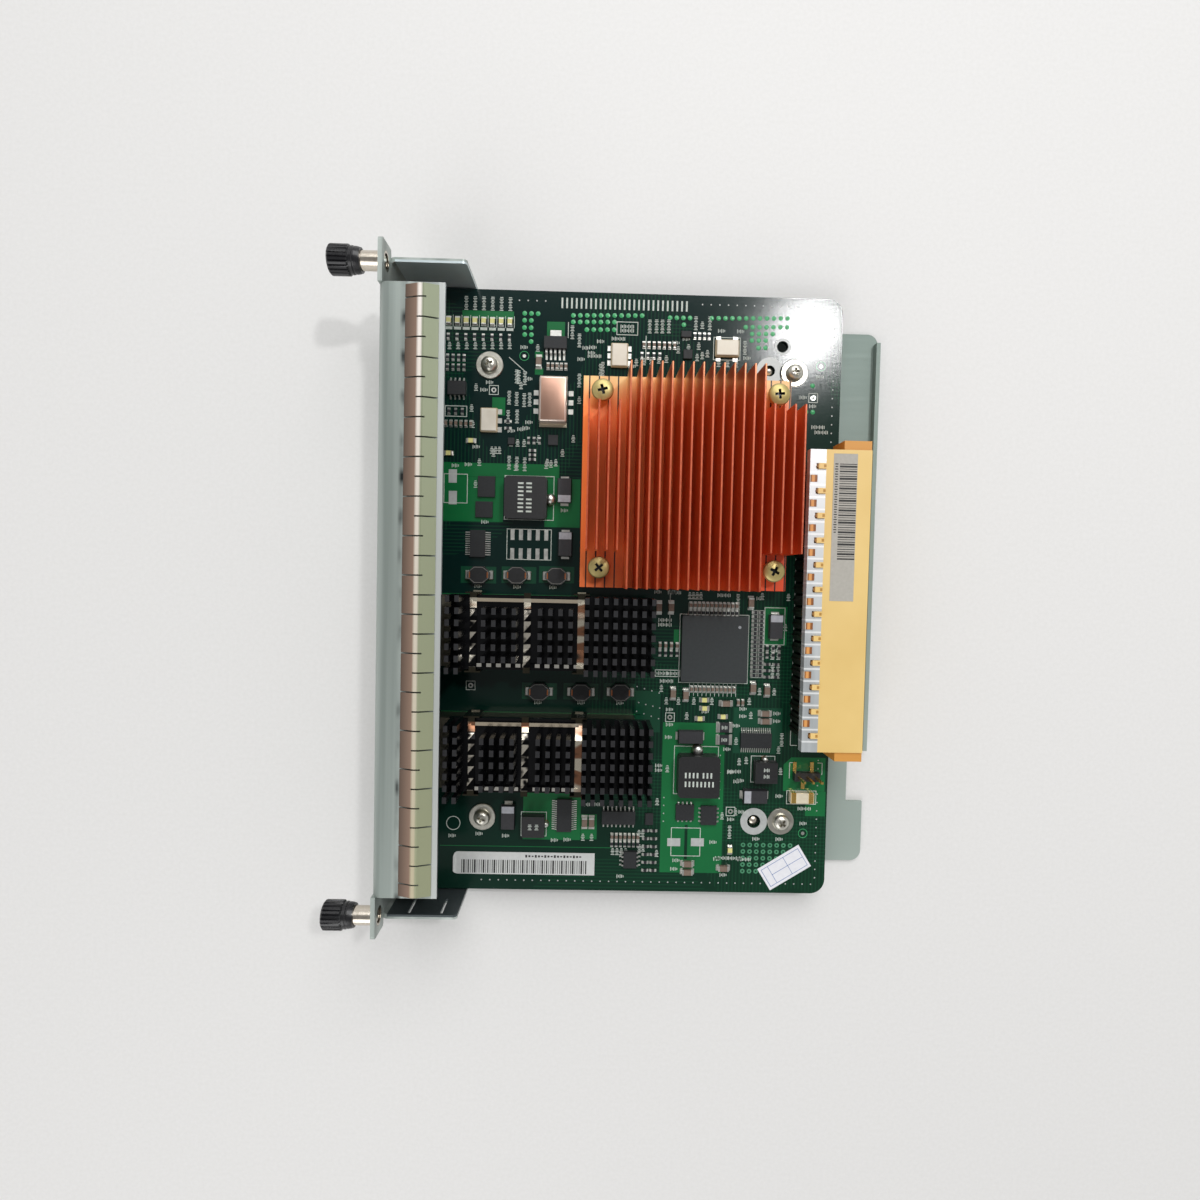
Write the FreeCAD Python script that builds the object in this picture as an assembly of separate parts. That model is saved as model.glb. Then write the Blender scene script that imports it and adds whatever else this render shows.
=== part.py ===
import FreeCAD, Part
import math
import os

# Interface daughter card for a network chassis, lying component side up on its base tray.
# Millimetres. X runs from the front panel to the backplane connector, +Z is up.
# While a piece is built, x is counted from the front face of the panel.

os.makedirs("parts", exist_ok=True)
V = FreeCAD.Vector

# Folded sheet of the front panel
SHEET = 1.2
PANEL_H = 34.0
FLANGE_DEPTH = 17.4
FLANGE_HALF = 80.4
FLANGE_BEND = 3.0
EAR_HALF = 91.8
EAR_H = 8.7
EAR_CORNER = 0.8
WING_OUT = 90.2
WING_DEPTH = 21.3
WING_H = 24.9
WING_CORNER = 1.2
WING_BEND = 2.2
RELIEF_LEN = 3.2
WING_SLOT_W = 0.7
WING_SLOT_H = 9.0
WING_SLOT_X = (7.4, 16.4)

# Base tray under the board
TRAY_REAR = 142.2
TRAY_HALF = 80.9
TRAY_CORNER = 3.2
TRAY_LIP_H = 4.2
TRAY_HEM_H = 2.6
TRAY_NOTCH_DEPTH = 5.1
TRAY_NOTCH_Y0 = -62.3
TRAY_NOTCH_Y1 = -46.0

# Contact finger strip on the flange
STRIP_X = 7.3
STRIP_RISE_LEN = 3.7
STRIP_RIDGE = 1.4
STRIP_FALL_LEN = 3.5
STRIP_H = 1.7
STRIP_T = 0.25
STRIP_HALF = 79.6
SLIT_PITCH = 5.08
SLIT_COUNT = 31
SLIT_W = 0.4
SLIT_PAST_RIDGE = 0.5

# Circuit board and its supports
STANDOFF_H = 5.2
STANDOFF_FLATS = 5.5
BOARD_T = 2.0
PANEL_TO_BOARD = 0.8
WING_TO_BOARD = 0.5
BOARD_CORNER = 4.3
BOARD_PAST_SINK = 16.4
BOARD_SCREW_X = (25.7, 115.0)
BOARD_SCREW_Y = 66.6
SPARE_HOLES = ((111.4, 74.3, 1.7), (107.8, 67.2, 1.6), (107.0, -66.8, 2.0))

# Board screws and washers
SHANK_R = 1.25
HEAD_R = 2.5
HEAD_H = 2.1
WASHER_R = 3.95
WASHER_T = 0.6
THREAD_SIDES = 8
HEAD_SIDES = 12

# Captive thumbscrews
THUMB_INSET = 4.8
THUMB_BELOW_TOP = 4.2
THUMB_TRAVEL = 3.7
SLEEVE_R = 2.55
SLEEVE_REACH = 7.0
SLEEVE_LIP = 1.5
SHOULDER_R = 1.95
SHOULDER_L = 3.0
THREAD_R = 1.5
THREAD_TIP = 3.4
KNOB_R = 3.95
KNOB_GRIP = 5.4
KNOB_FLUTES = 16
FLUTE_DEPTH = 0.4
KNOB_RING_R = 3.6
KNOB_TAIL_R = 3.2
KNOB_CAP = 1.3
COIL_WIRE = 0.5
COIL_TURNS = 3
COIL_STEPS = 8

# Optical module cages and what rides on them
CAGE_Y = -10.5
CAGE_PITCH = 34.7
CAGE_W = 20.0
CAGE_H = 9.9
CAGE_WALL = 0.4
CAGE_REAR = 70.0
CAGE_RIM = 0.9
CAGE_RIM_T = 0.8
CAGE_TAB_L = 2.4
CAGE_TAB_H = 0.8
CAGE_TAB_OUT = 0.7
CAGE_TAB_BELOW = 4.4
WINDOW_X0 = 19.0
WINDOW_X1 = 50.0
WINDOW_W = 13.0
SOCKET_X = 53.0
SOCKET_L = 10.0
SOCKET_W = 15.0
SOCKET_H = 6.2
SOCKET_SLOT_H = 1.4
SOCKET_SLOT_D = 6.0
RIDER_X0 = 17.6
RIDER_X1 = 74.0
RIDER_W = 21.0
RIDER_BASE = 2.0
RIDER_H = 13.6
RIDER_PEDESTAL = 0.7
RIDER_LIFT = 0.5
PIN_X = 1.15
PIN_Y = 1.7
PIN_ROW = 3.2
END_ROW_COUNT = 7
MIDDLE_ROW_COUNT = 5
FRONT_PIN_GAP = 1.9
MIDDLE_PIN_GAP = 2.7
PIN_PITCH = 2.54
MIDDLE_PIN_PITCH = 2.7
FRONT_COLUMN_COUNT = 2
MIDDLE_COLUMN_COUNT = 4
REAR_COLUMN_COUNT = 8
CLIP_BANDS = (24.0, 39.0, 54.0)
CLIP_BAND_W = 1.9
CLIP_T = 0.4
CLIP_RAIL_Y = 9.1
CLIP_RAIL_W = 1.0
CLIP_ARCH = 1.1
CLIP_LEG_BELOW = 6.4

# Copper heat sink with its chip
SINK_X = 82.9
SINK_Y = 32.6
SINK_L = 59.2
SINK_W = 60.0
SINK_BASE_T = 3.6
SINK_TOP = 23.7
FIN_COUNT = 22
FIN_T = 0.45
FIN_FRONT_INSET = 1.7
FIN_REAR_INSET = 0.3
SHORT_FIN_COUNT = 4
FIN_CUT = 10.3
SINK_SCREW_SPACING = 49.5
SINK_SCREW_SHIFT = (0.5, 0.4)
SINK_HEAD_R = 3.1
SINK_HEAD_H = 1.8
SINK_SPRING_L = 3.2
SINK_COIL_WIRE = 0.55
SINK_COIL_TURNS = 2
SINK_SCREW_R = 1.3
POST_FLATS = 5.0
CHIP_SIZE = 37.5
CHIP_H = 3.0
PAD_T = 0.3

# Backplane connector
CONN_HALF = 42.4
CONN_H = 13.5
CONN_OVERHANG = 5.1
CONN_HOUSING_D = 12.8
CONN_BELOW = 1.6
CONN_EDGE_GAP = 0.3
CONN_SLOT_W = 1.3
CONN_SLOT_H = 9.6
CONN_SLOT_D = 4.0
GUIDE_OUT = 2.6
GUIDE_D = 7.7
GUIDE_BOTTOM = 3.0
WAFER_COUNT = 23
WAFER_PITCH = 3.43
WAFER_T = 2.7
WAFER_D = 4.0
PEG_W = 1.5
PEG_L = 2.7
PEG_RISE = 0.6
EDGE_PEG_W = 1.9
EDGE_PEG_L = 1.6
EDGE_PEG_DROP = 2.2
STIFF_T = 0.5
STIFF_DROP = 3.2
TAIL_W = 0.5

# Board components, with their places counted from the panel and the centre line
PHY_PLACE = (93.5, -15.0)
PHY_SIZE = 19.5
PHY_H = 2.3
POWER_COIL_SIZE = 12.2
POWER_COIL_H = 5.0
POWER_COIL_BEVEL = 0.7
POWER_COIL_PLACES = ((37.2, 28.0), (89.5, -52.5))
CHIP_COIL = (6.6, 6.2, 3.5)
CHIP_COIL_PLACES = ((41.1, -68.5), (109.6, -51.3))
CHOKE_L = 6.4
CHOKE_W = 5.0
CHOKE_H = 2.4
CHOKE_CUT = 1.7
CHOKE_FOOT = 0.9
CHOKE_FOOT_W = 2.6
CHOKE_FOOT_H = 0.8
CHOKE_PLACES = ((23.7, 5.4), (34.8, 5.5), (46.4, 5.5), (41.9, -28.7), (54.3, -28.6), (66.0, -28.4))
TANTALUM_L = 7.3
TANTALUM_W = 4.2
TANTALUM_H = 2.8
TANTALUM_DRAFT = 0.25
TANTALUM_PLACES = (
    (48.3, 30.5, 90), (48.8, 14.9, 90), (33.5, -66.1, 90), (111.5, -8.0, 90), (106.8, -58.7, 0),
)
CAN_PLACE = (44.5, 56.4)
CAN_L = 13.0
CAN_W = 8.0
CAN_H = 4.6
CAN_CORNER = 1.4
CAN_BASE_GROW = 0.9
CAN_BASE_T = 0.8
SMALL_CAN_L = 7.0
SMALL_CAN_W = 5.0
SMALL_CAN_H = 1.6
SMALL_CAN_CORNER = 0.7
SMALL_CAN_PLACES = ((25.8, 50.6, 90), (63.5, 70.3, 90), (95.0, 73.2, 0))
REGULATOR_PLACE = (44.8, 73.2)
REGULATOR_BODY = (6.5, 3.4, 2.3)
REGULATOR_TAB = (3.2, 2.2, 0.5)
SO_H = 1.6
SO_CHIPS = ((16.4, 59.6, 5.2, 3.9), (70.0, -78.6, 3.9, 4.9), (66.3, -66.0, 9.9, 3.9))
THIN_H = 1.1
THIN_CHIPS = ((106.8, -42.2, 9.2, 4.4), (50.1, -65.7, 4.4, 9.7), (23.1, 14.6, 4.4, 7.8))
FLAT_H = 0.9
FLAT_CHIPS = (
    (25.4, 31.3, 5.0, 6.0), (24.8, 24.6, 5.0, 4.6), (86.1, -64.2, 5.4, 4.7), (93.3, -65.0, 4.7, 5.7),
)
DIODE_PLACE = (87.1, -41.3)
DIODE_L = 7.6
DIODE_W = 4.2
DIODE_H = 2.3
DIODE_DRAFT = 0.3
LED_FIRST = (13.6, 79.2)
LED_PITCH = 2.54
LED_COUNT = 8
LED_SIZE = (1.3, 2.0, 0.9)
HEADER_PLACE = (122.1, -52.6)
HEADER_PITCH = 2.54
HEADER_ROW_COUNT = 1
HEADER_COLUMN_COUNT = 3
HEADER_BODY_H = 2.5
HEADER_PIN = 0.64
HEADER_PIN_H = 8.5
FUSE_PLACE = (120.8, -58.9)
FUSE_SIZE = (7.0, 3.1, 2.4)

# Fits
FIT = 0.05
SLIDE_GAP = 0.1
BODY_GAP = 0.3
PANEL_GAP = 0.3
KNOB_STOP_GAP = 1.5

# Places that follow from the sizes above
BOARD_Z = SHEET + STANDOFF_H
BOARD_TOP = BOARD_Z + BOARD_T
BOARD_HALF = WING_OUT - SHEET - WING_TO_BOARD
BOARD_FRONT = SHEET + PANEL_TO_BOARD
BOARD_REAR = SINK_X + SINK_L / 2 + BOARD_PAST_SINK
THUMB_Y = EAR_HALF - THUMB_INSET
THUMB_Z = PANEL_H - THUMB_BELOW_TOP
KNOB_REAR = THUMB_TRAVEL + KNOB_STOP_GAP
KNOB_FRONT = SLEEVE_REACH + THUMB_TRAVEL + COIL_TURNS * COIL_WIRE + KNOB_CAP
CAGE_TOP = BOARD_TOP + CAGE_H
CAGE_CENTRES = (CAGE_Y, CAGE_Y - CAGE_PITCH)
CENTRE_X = (TRAY_REAR - KNOB_FRONT) / 2


def box(x0, x1, y0, y1, z0, z1):
    return Part.makeBox(x1 - x0, y1 - y0, z1 - z0, V(x0, y0, z0))


def rod_x(r, x0, x1, y, z):
    return Part.makeCylinder(r, x1 - x0, V(x0, y, z), V(1, 0, 0))


def prism_y(points, y0, y1):
    wire = Part.makePolygon([V(x, y0, z) for x, z in points + points[:1]])
    return Part.Face(wire).extrude(V(0, y1 - y0, 0))


def prism_z(points, z0, z1):
    wire = Part.makePolygon([V(x, y, z0) for x, y in points + points[:1]])
    return Part.Face(wire).extrude(V(0, 0, z1 - z0))


def fuse(shapes):
    return shapes[0].multiFuse(shapes[1:]).removeSplitter()


def edges_at(shape, direction, test):
    found = []
    for edge in shape.Edges:
        if len(edge.Vertexes) != 2:
            continue
        a, b = (v.Point for v in edge.Vertexes)
        if (b - a).cross(direction).Length < 1e-6 and test((a + b) / 2):
            found.append(edge)
    return found


def round_upright(shape, radius, test):
    return shape.makeFillet(radius, edges_at(shape, V(0, 0, 1), test))


def bar(r, sides, x, y, z0, z1):
    turns = [2 * math.pi * k / sides for k in range(sides)]
    return prism_z([(x + r * math.cos(a), y + r * math.sin(a)) for a in turns], z0, z1)


def bar_x(r, sides, x0, x1, y, z):
    turns = [2 * math.pi * k / sides for k in range(sides + 1)]
    wire = Part.makePolygon([V(x0, y + r * math.cos(a), z + r * math.sin(a)) for a in turns])
    return Part.Face(wire).extrude(V(x1 - x0, 0, 0))


def hex_post(flats, x, y, z0, z1):
    return bar(flats / math.sqrt(3), 6, x, y, z0, z1)


# A threaded shank or hole is a many-sided bar of its mean size
def thread(r, x, y, z0, z1):
    return bar(r, THREAD_SIDES, x, y, z0, z1)


def save(node, shapes):
    shape = Part.makeCompound(shapes) if isinstance(shapes, list) else shapes
    shape.translate(V(-CENTRE_X, 0, 0))
    shape.exportStep("parts/" + node + ".step")


# Front panel: one folded sheet with a top flange, two screw ears and two side wings
ear_bottom = PANEL_H - EAR_H
flange = fuse([
    box(0, SHEET, -FLANGE_HALF, FLANGE_HALF, 0, PANEL_H),
    box(0, FLANGE_DEPTH, -FLANGE_HALF, FLANGE_HALF, PANEL_H - SHEET, PANEL_H),
])
flange = flange.makeFillet(FLANGE_BEND, edges_at(
    flange, V(0, 1, 0), lambda p: p.x < SHEET / 2 and p.z > PANEL_H - SHEET / 2))
flange = flange.makeFillet(FLANGE_BEND - SHEET, edges_at(
    flange, V(0, 1, 0), lambda p: abs(p.x - SHEET) < 0.01 and abs(p.z - PANEL_H + SHEET) < 0.01))
ears = box(0, SHEET, -EAR_HALF, EAR_HALF, ear_bottom, PANEL_H)
ears = ears.makeFillet(EAR_CORNER, edges_at(ears, V(1, 0, 0), lambda p: True))
middle = box(0, SHEET, -FLANGE_HALF, FLANGE_HALF, ear_bottom, PANEL_H)
wings = fuse([
    box(0, SHEET, -WING_OUT, WING_OUT, 0, WING_H),
    box(0, WING_DEPTH, -WING_OUT, SHEET - WING_OUT, 0, WING_H),
    box(0, WING_DEPTH, WING_OUT - SHEET, WING_OUT, 0, WING_H),
])
wings = round_upright(wings, WING_BEND, lambda p: p.x < 0.01)
wings = round_upright(
    wings, WING_BEND - SHEET,
    lambda p: abs(p.x - SHEET) < 0.01 and abs(abs(p.y) - WING_OUT + SHEET) < 0.01)
wings = wings.makeFillet(WING_CORNER, edges_at(
    wings, V(0, 1, 0), lambda p: abs(p.x - WING_DEPTH) < 0.01 and abs(p.z - WING_H) < 0.01))
web = box(0, SHEET, -WING_OUT + RELIEF_LEN, WING_OUT - RELIEF_LEN, WING_H, ear_bottom)
panel = fuse([flange, ears.cut(middle), wings, web])

thumb_holes = [rod_x(SLEEVE_R + FIT, -1, SHEET + 1, side * THUMB_Y, THUMB_Z) for side in (1, -1)]
port_half = CAGE_W / 2 + PANEL_GAP
ports = [
    box(-1, SHEET + 1, y - port_half, y + port_half, BOARD_TOP - PANEL_GAP, CAGE_TOP + PANEL_GAP)
    for y in CAGE_CENTRES
]
slots = [
    box(x, x + WING_SLOT_W, -WING_OUT - 1, SHEET - WING_OUT + 1, WING_H - WING_SLOT_H - SHEET, WING_H - SHEET)
    for x in WING_SLOT_X
]
save("front_panel", panel.cut(thumb_holes + ports + slots))

# Base tray with a turned-up front lip, a rear hem and a notch beside the connector
notch_x = TRAY_REAR - TRAY_NOTCH_DEPTH
outline = [
    (SHEET, -TRAY_HALF), (TRAY_REAR, -TRAY_HALF), (TRAY_REAR, TRAY_NOTCH_Y0), (notch_x, TRAY_NOTCH_Y0),
    (notch_x, TRAY_NOTCH_Y1), (TRAY_REAR, TRAY_NOTCH_Y1), (TRAY_REAR, TRAY_HALF), (SHEET, TRAY_HALF),
]
tray = round_upright(
    prism_z(outline, 0, SHEET), TRAY_CORNER,
    lambda p: abs(p.x - TRAY_REAR) < 0.01 and abs(abs(p.y) - TRAY_HALF) < 0.01)
lip = box(SHEET, 2 * SHEET, -TRAY_HALF, TRAY_HALF, 0, SHEET + TRAY_LIP_H)
hem = box(TRAY_REAR - SHEET, TRAY_REAR, TRAY_NOTCH_Y1, TRAY_HALF - TRAY_CORNER, 0, SHEET + TRAY_HEM_H)
screw_places = [(x, side * BOARD_SCREW_Y) for x in BOARD_SCREW_X for side in (1, -1)]
save("base_tray", fuse([tray, lip, hem]))

# Hexagonal standoffs that carry the board
save("tray_standoffs", [
    hex_post(STANDOFF_FLATS, x, y, SHEET, BOARD_Z).cut(thread(SHANK_R + FIT, x, y, SHEET, BOARD_Z))
    for x, y in screw_places
])

# Contact finger strip: an arched spring sheet slit from alternate sides
rise = STRIP_X + STRIP_RISE_LEN
fall = rise + STRIP_RIDGE
strip_end = fall + STRIP_FALL_LEN
over = [
    (STRIP_X, PANEL_H + STRIP_T), (rise, PANEL_H + STRIP_H),
    (fall, PANEL_H + STRIP_H), (strip_end, PANEL_H + STRIP_T),
]
under = [(x, z - STRIP_T) for x, z in reversed(over)]
strip = prism_y(over + under, -STRIP_HALF, STRIP_HALF)
slits = []
for i in range(SLIT_COUNT):
    y = (i - (SLIT_COUNT - 1) / 2) * SLIT_PITCH
    x0, x1 = (STRIP_X, fall + SLIT_PAST_RIDGE) if i % 2 == 0 else (rise - SLIT_PAST_RIDGE, strip_end)
    slits.append(box(x0, x1, y - SLIT_W / 2, y + SLIT_W / 2, PANEL_H, PANEL_H + STRIP_H))
save("finger_strip", strip.cut(slits))

# Circuit board
board = box(BOARD_FRONT, BOARD_REAR, -BOARD_HALF, BOARD_HALF, BOARD_Z, BOARD_TOP)
board = round_upright(board, BOARD_CORNER, lambda p: p.x > BOARD_REAR - 0.01)
half = SINK_SCREW_SPACING / 2
shift_x, shift_y = SINK_SCREW_SHIFT
sink_places = [(SINK_X + shift_x + i * half, SINK_Y + shift_y + j * half) for i in (-1, 1) for j in (-1, 1)]
holes = [thread(SHANK_R + BODY_GAP, x, y, BOARD_Z, BOARD_TOP) for x, y in screw_places]
holes += [bar(r, HEAD_SIDES, x, y, BOARD_Z, BOARD_TOP) for x, y, r in SPARE_HOLES]
save("circuit_board", board.cut(holes))

# Screws with captive washers that hold the board on its standoffs
seat = BOARD_TOP + WASHER_T
save("board_screws", [
    fuse([thread(SHANK_R, x, y, SHEET, BOARD_TOP), bar(WASHER_R, HEAD_SIDES, x, y, BOARD_TOP, seat),
          bar(HEAD_R, HEAD_SIDES, x, y, seat, seat + HEAD_H)])
    for x, y in screw_places
])


# Captive thumbscrews, drawn back by their springs
def facet(*corners):
    return Part.Face(Part.makePolygon(list(corners) + [corners[0]]))


def coil_spring(radius, wire, length, turns, place):
    rings = []
    steps = turns * COIL_STEPS
    for k in range(steps + 1):
        a = 2 * math.pi * k / COIL_STEPS
        z = (length - wire) * k / steps
        rings.append([
            V((radius + i * wire / 2) * math.cos(a), (radius + i * wire / 2) * math.sin(a), z + j * wire)
            for i, j in ((-1, 0), (1, 0), (1, 1), (-1, 1))
        ])
    faces = [facet(*rings[0]), facet(*rings[-1])]
    for low, high in zip(rings[:-1], rings[1:]):
        for i in range(4):
            j = (i + 1) % 4
            faces += [facet(low[i], low[j], high[j]), facet(low[i], high[j], high[i])]
    coil = Part.Solid(Part.Shell(faces))
    if coil.Volume < 0:
        coil.reverse()
    coil.Placement = place
    return coil


def fluted_bar(y, z, x0, x1):
    points = []
    for k in range(KNOB_FLUTES):
        for share, r in ((0, KNOB_R), (0.5, KNOB_R - FLUTE_DEPTH)):
            a = 2 * math.pi * (k + share) / KNOB_FLUTES
            points.append(V(x0, y + r * math.cos(a), z + r * math.sin(a)))
    return Part.Face(Part.makePolygon(points + points[:1])).extrude(V(x1 - x0, 0, 0))


def cone_x(r0, r1, x0, x1, y, z):
    return Part.makeCone(r0, r1, x1 - x0, V(x0, y, z), V(1, 0, 0))


grip_end = KNOB_GRIP - KNOB_FRONT
cup_floor = KNOB_CAP - KNOB_FRONT
shoulder_x = SLEEVE_LIP - SLEEVE_REACH
shoulder_end = shoulder_x + SHOULDER_L
for side, word in ((1, "upper"), (-1, "lower")):
    y, z = side * THUMB_Y, THUMB_Z
    sleeve = rod_x(SLEEVE_R, -SLEEVE_REACH, SHEET, y, z)
    bores = [
        rod_x(THREAD_R + FIT, -SLEEVE_REACH, shoulder_x, y, z),
        rod_x(SHOULDER_R + FIT, shoulder_x, SHEET, y, z),
    ]
    save(word + "_sleeve", sleeve.cut(bores))

    bolt = fuse([
        bar_x(THREAD_R, THREAD_SIDES, -KNOB_FRONT, shoulder_x, y, z),
        rod_x(SHOULDER_R, shoulder_x, shoulder_end, y, z),
        bar_x(THREAD_R, THREAD_SIDES, shoulder_end, shoulder_end + THREAD_TIP, y, z),
    ])
    save(word + "_screw", bolt)

    knob = fuse([
        fluted_bar(y, z, -KNOB_FRONT, grip_end),
        cone_x(KNOB_RING_R, KNOB_TAIL_R, grip_end, -KNOB_REAR, y, z),
    ])
    cup = rod_x(SLEEVE_R + SLIDE_GAP, cup_floor, -KNOB_REAR, y, z)
    save(word + "_knob", knob.cut([cup, bar_x(THREAD_R, THREAD_SIDES, -KNOB_FRONT, cup_floor, y, z)]))

    coil_r = (THREAD_R + SLEEVE_R) / 2
    along_x = FreeCAD.Placement(V(cup_floor, y, z), FreeCAD.Rotation(V(0, 1, 0), 90))
    save(word + "_spring", coil_spring(coil_r, COIL_WIRE, -SLEEVE_REACH - cup_floor, COIL_TURNS, along_x))


# Optical module cages: open-fronted sheet boxes that stand out of the panel by a rim
def pin_columns():
    first = CLIP_BANDS[0] - CLIP_BAND_W / 2 - FRONT_PIN_GAP
    for k in range(FRONT_COLUMN_COUNT):
        yield first - k * PIN_PITCH, END_ROW_COUNT
    for band in CLIP_BANDS[:-1]:
        for k in range(MIDDLE_COLUMN_COUNT):
            yield band + CLIP_BAND_W / 2 + MIDDLE_PIN_GAP + PIN_X / 2 + k * MIDDLE_PIN_PITCH, MIDDLE_ROW_COUNT
    for k in range(REAR_COLUMN_COUNT):
        yield RIDER_X1 - PIN_X / 2 - k * PIN_PITCH, END_ROW_COUNT


rider_top = CAGE_TOP + RIDER_BASE
leg_x = (CLIP_BANDS[0], CLIP_BANDS[-1])
leg_in = RIDER_W / 2 + BODY_GAP
tab_top = CAGE_TOP - CAGE_TAB_BELOW
for yc, word in zip(CAGE_CENTRES, ("upper", "lower")):
    w = CAGE_W / 2
    inner = w - CAGE_WALL
    floor = BOARD_TOP + CAGE_WALL
    shell = fuse([
        box(-CAGE_RIM_T, CAGE_REAR, yc - w, yc + w, BOARD_TOP, CAGE_TOP),
        box(-CAGE_RIM_T, 0, yc - w - CAGE_RIM, yc + w + CAGE_RIM, BOARD_TOP - CAGE_RIM, CAGE_TOP + CAGE_RIM),
    ] + [
        box(x - CAGE_TAB_L / 2, x + CAGE_TAB_L / 2, yc - leg_in - CAGE_TAB_OUT, yc + leg_in + CAGE_TAB_OUT,
            tab_top - CAGE_TAB_H, tab_top)
        for x in leg_x
    ])
    cuts = [
        box(-CAGE_RIM_T, CAGE_REAR - CAGE_WALL, yc - inner, yc + inner, floor, CAGE_TOP - CAGE_WALL),
        box(WINDOW_X0, WINDOW_X1, yc - WINDOW_W / 2, yc + WINDOW_W / 2, CAGE_TOP - CAGE_WALL, CAGE_TOP),
        box(SOCKET_X - BODY_GAP, CAGE_REAR - CAGE_WALL, yc - inner, yc + inner, BOARD_TOP, floor),
    ]
    save(word + "_cage", shell.cut(cuts))

    half = SOCKET_W / 2
    socket = box(SOCKET_X, SOCKET_X + SOCKET_L, yc - half, yc + half, BOARD_TOP, BOARD_TOP + SOCKET_H)
    half -= CAGE_WALL
    slot_z = BOARD_TOP + (SOCKET_H - SOCKET_SLOT_H) / 2
    mouth = box(SOCKET_X, SOCKET_X + SOCKET_SLOT_D, yc - half, yc + half, slot_z, slot_z + SOCKET_SLOT_H)
    save(word + "_socket", socket.cut(mouth))

    pins = [
        box(x - PIN_X / 2, x + PIN_X / 2, yc + (r - (rows - 1) / 2) * PIN_ROW - PIN_Y / 2,
            yc + (r - (rows - 1) / 2) * PIN_ROW + PIN_Y / 2, rider_top, CAGE_TOP + RIDER_H)
        for x, rows in pin_columns() for r in range(rows)
    ]
    foot = WINDOW_W / 2 - BODY_GAP
    rider = fuse([
        box(RIDER_X0, RIDER_X1, yc - RIDER_W / 2, yc + RIDER_W / 2, CAGE_TOP, rider_top),
        box(WINDOW_X0 + BODY_GAP, WINDOW_X1 - BODY_GAP, yc - foot, yc + foot,
            CAGE_TOP - RIDER_PEDESTAL, CAGE_TOP),
    ] + pins)
    save(word + "_cage_sink", rider)

    # Spring clip: two rails, three bowed bands, and legs with a window round each cage tab
    bow = [
        (-leg_in - CLIP_T, rider_top + CLIP_ARCH), (-CLIP_RAIL_Y, rider_top + CLIP_ARCH),
        (-CLIP_RAIL_Y / 2, rider_top), (CLIP_RAIL_Y / 2, rider_top),
        (CLIP_RAIL_Y, rider_top + CLIP_ARCH), (leg_in + CLIP_T, rider_top + CLIP_ARCH),
    ]
    ring = bow + [(y, z + CLIP_T) for y, z in reversed(bow)]
    clip = []
    for x in CLIP_BANDS:
        face = Part.Face(Part.makePolygon([V(x - CLIP_BAND_W / 2, yc + y, z) for y, z in ring + ring[:1]]))
        clip.append(face.extrude(V(CLIP_BAND_W, 0, 0)))
    rail_z = rider_top + CLIP_ARCH
    for s in (-1, 1):
        rail_y = yc + s * CLIP_RAIL_Y
        clip.append(box(CLIP_BANDS[0], CLIP_BANDS[-1], rail_y - CLIP_RAIL_W / 2, rail_y + CLIP_RAIL_W / 2,
                        rail_z, rail_z + CLIP_T))
        for x in leg_x:
            a, b = sorted((yc + s * leg_in, yc + s * (leg_in + CLIP_T)))
            leg_w = CAGE_TAB_L / 2 + 2 * BODY_GAP + CLIP_T
            leg = box(x - leg_w, x + leg_w, a, b, CAGE_TOP - CLIP_LEG_BELOW, rail_z + CLIP_T)
            eye = box(x - CAGE_TAB_L / 2 - BODY_GAP, x + CAGE_TAB_L / 2 + BODY_GAP, a, b,
                      tab_top - CAGE_TAB_H - RIDER_LIFT - SLIDE_GAP, tab_top + BODY_GAP)
            clip.append(leg.cut(eye))
    save(word + "_clip", fuse(clip))

# Copper heat sink: thin upright fins, cut short at the corners where the screws go in
sink_bottom = BOARD_TOP + CHIP_H + PAD_T
sink_base_top = sink_bottom + SINK_BASE_T
sink_x0, sink_x1 = SINK_X - SINK_L / 2, SINK_X + SINK_L / 2
sink_y0, sink_y1 = SINK_Y - SINK_W / 2, SINK_Y + SINK_W / 2
fin_pitch = (SINK_L - FIN_FRONT_INSET - FIN_REAR_INSET) / (FIN_COUNT - 1)
fins = []
for i in range(FIN_COUNT):
    x = sink_x0 + FIN_FRONT_INSET + i * fin_pitch
    cut = FIN_CUT if min(i, FIN_COUNT - 1 - i) < SHORT_FIN_COUNT else 0
    x0, x1 = x - FIN_T / 2, x + FIN_T / 2
    fins.append(box(x0, x1, sink_y0 + cut, sink_y1 - cut, sink_base_top, BOARD_TOP + SINK_TOP))
base = box(sink_x0, sink_x1, sink_y0, sink_y1, sink_bottom, sink_base_top)
sink = fuse([base] + fins).cut([
    thread(SINK_SCREW_R + FIT, x, y, sink_bottom, sink_base_top) for x, y in sink_places
])
save("copper_heat_sink", sink)

posts = []
sink_screws = []
sink_coils = []
for x, y in sink_places:
    post = hex_post(POST_FLATS, x, y, BOARD_TOP, sink_bottom)
    posts.append(post.cut(thread(SINK_SCREW_R + FIT, x, y, BOARD_TOP, sink_bottom)))
    head_z = sink_base_top + SINK_SPRING_L
    head = bar(SINK_HEAD_R, HEAD_SIDES, x, y, head_z, head_z + SINK_HEAD_H)
    sink_screws.append(head.fuse(thread(SINK_SCREW_R, x, y, BOARD_TOP, head_z)))
    coil_r = (SINK_SCREW_R + SINK_HEAD_R) / 2
    upright = FreeCAD.Placement(V(x, y, sink_base_top), FreeCAD.Rotation())
    sink_coils.append(coil_spring(coil_r, SINK_COIL_WIRE, SINK_SPRING_L, SINK_COIL_TURNS, upright))
save("heat_sink_posts", posts)
save("heat_sink_screws", sink_screws)
save("heat_sink_springs", sink_coils)

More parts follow.
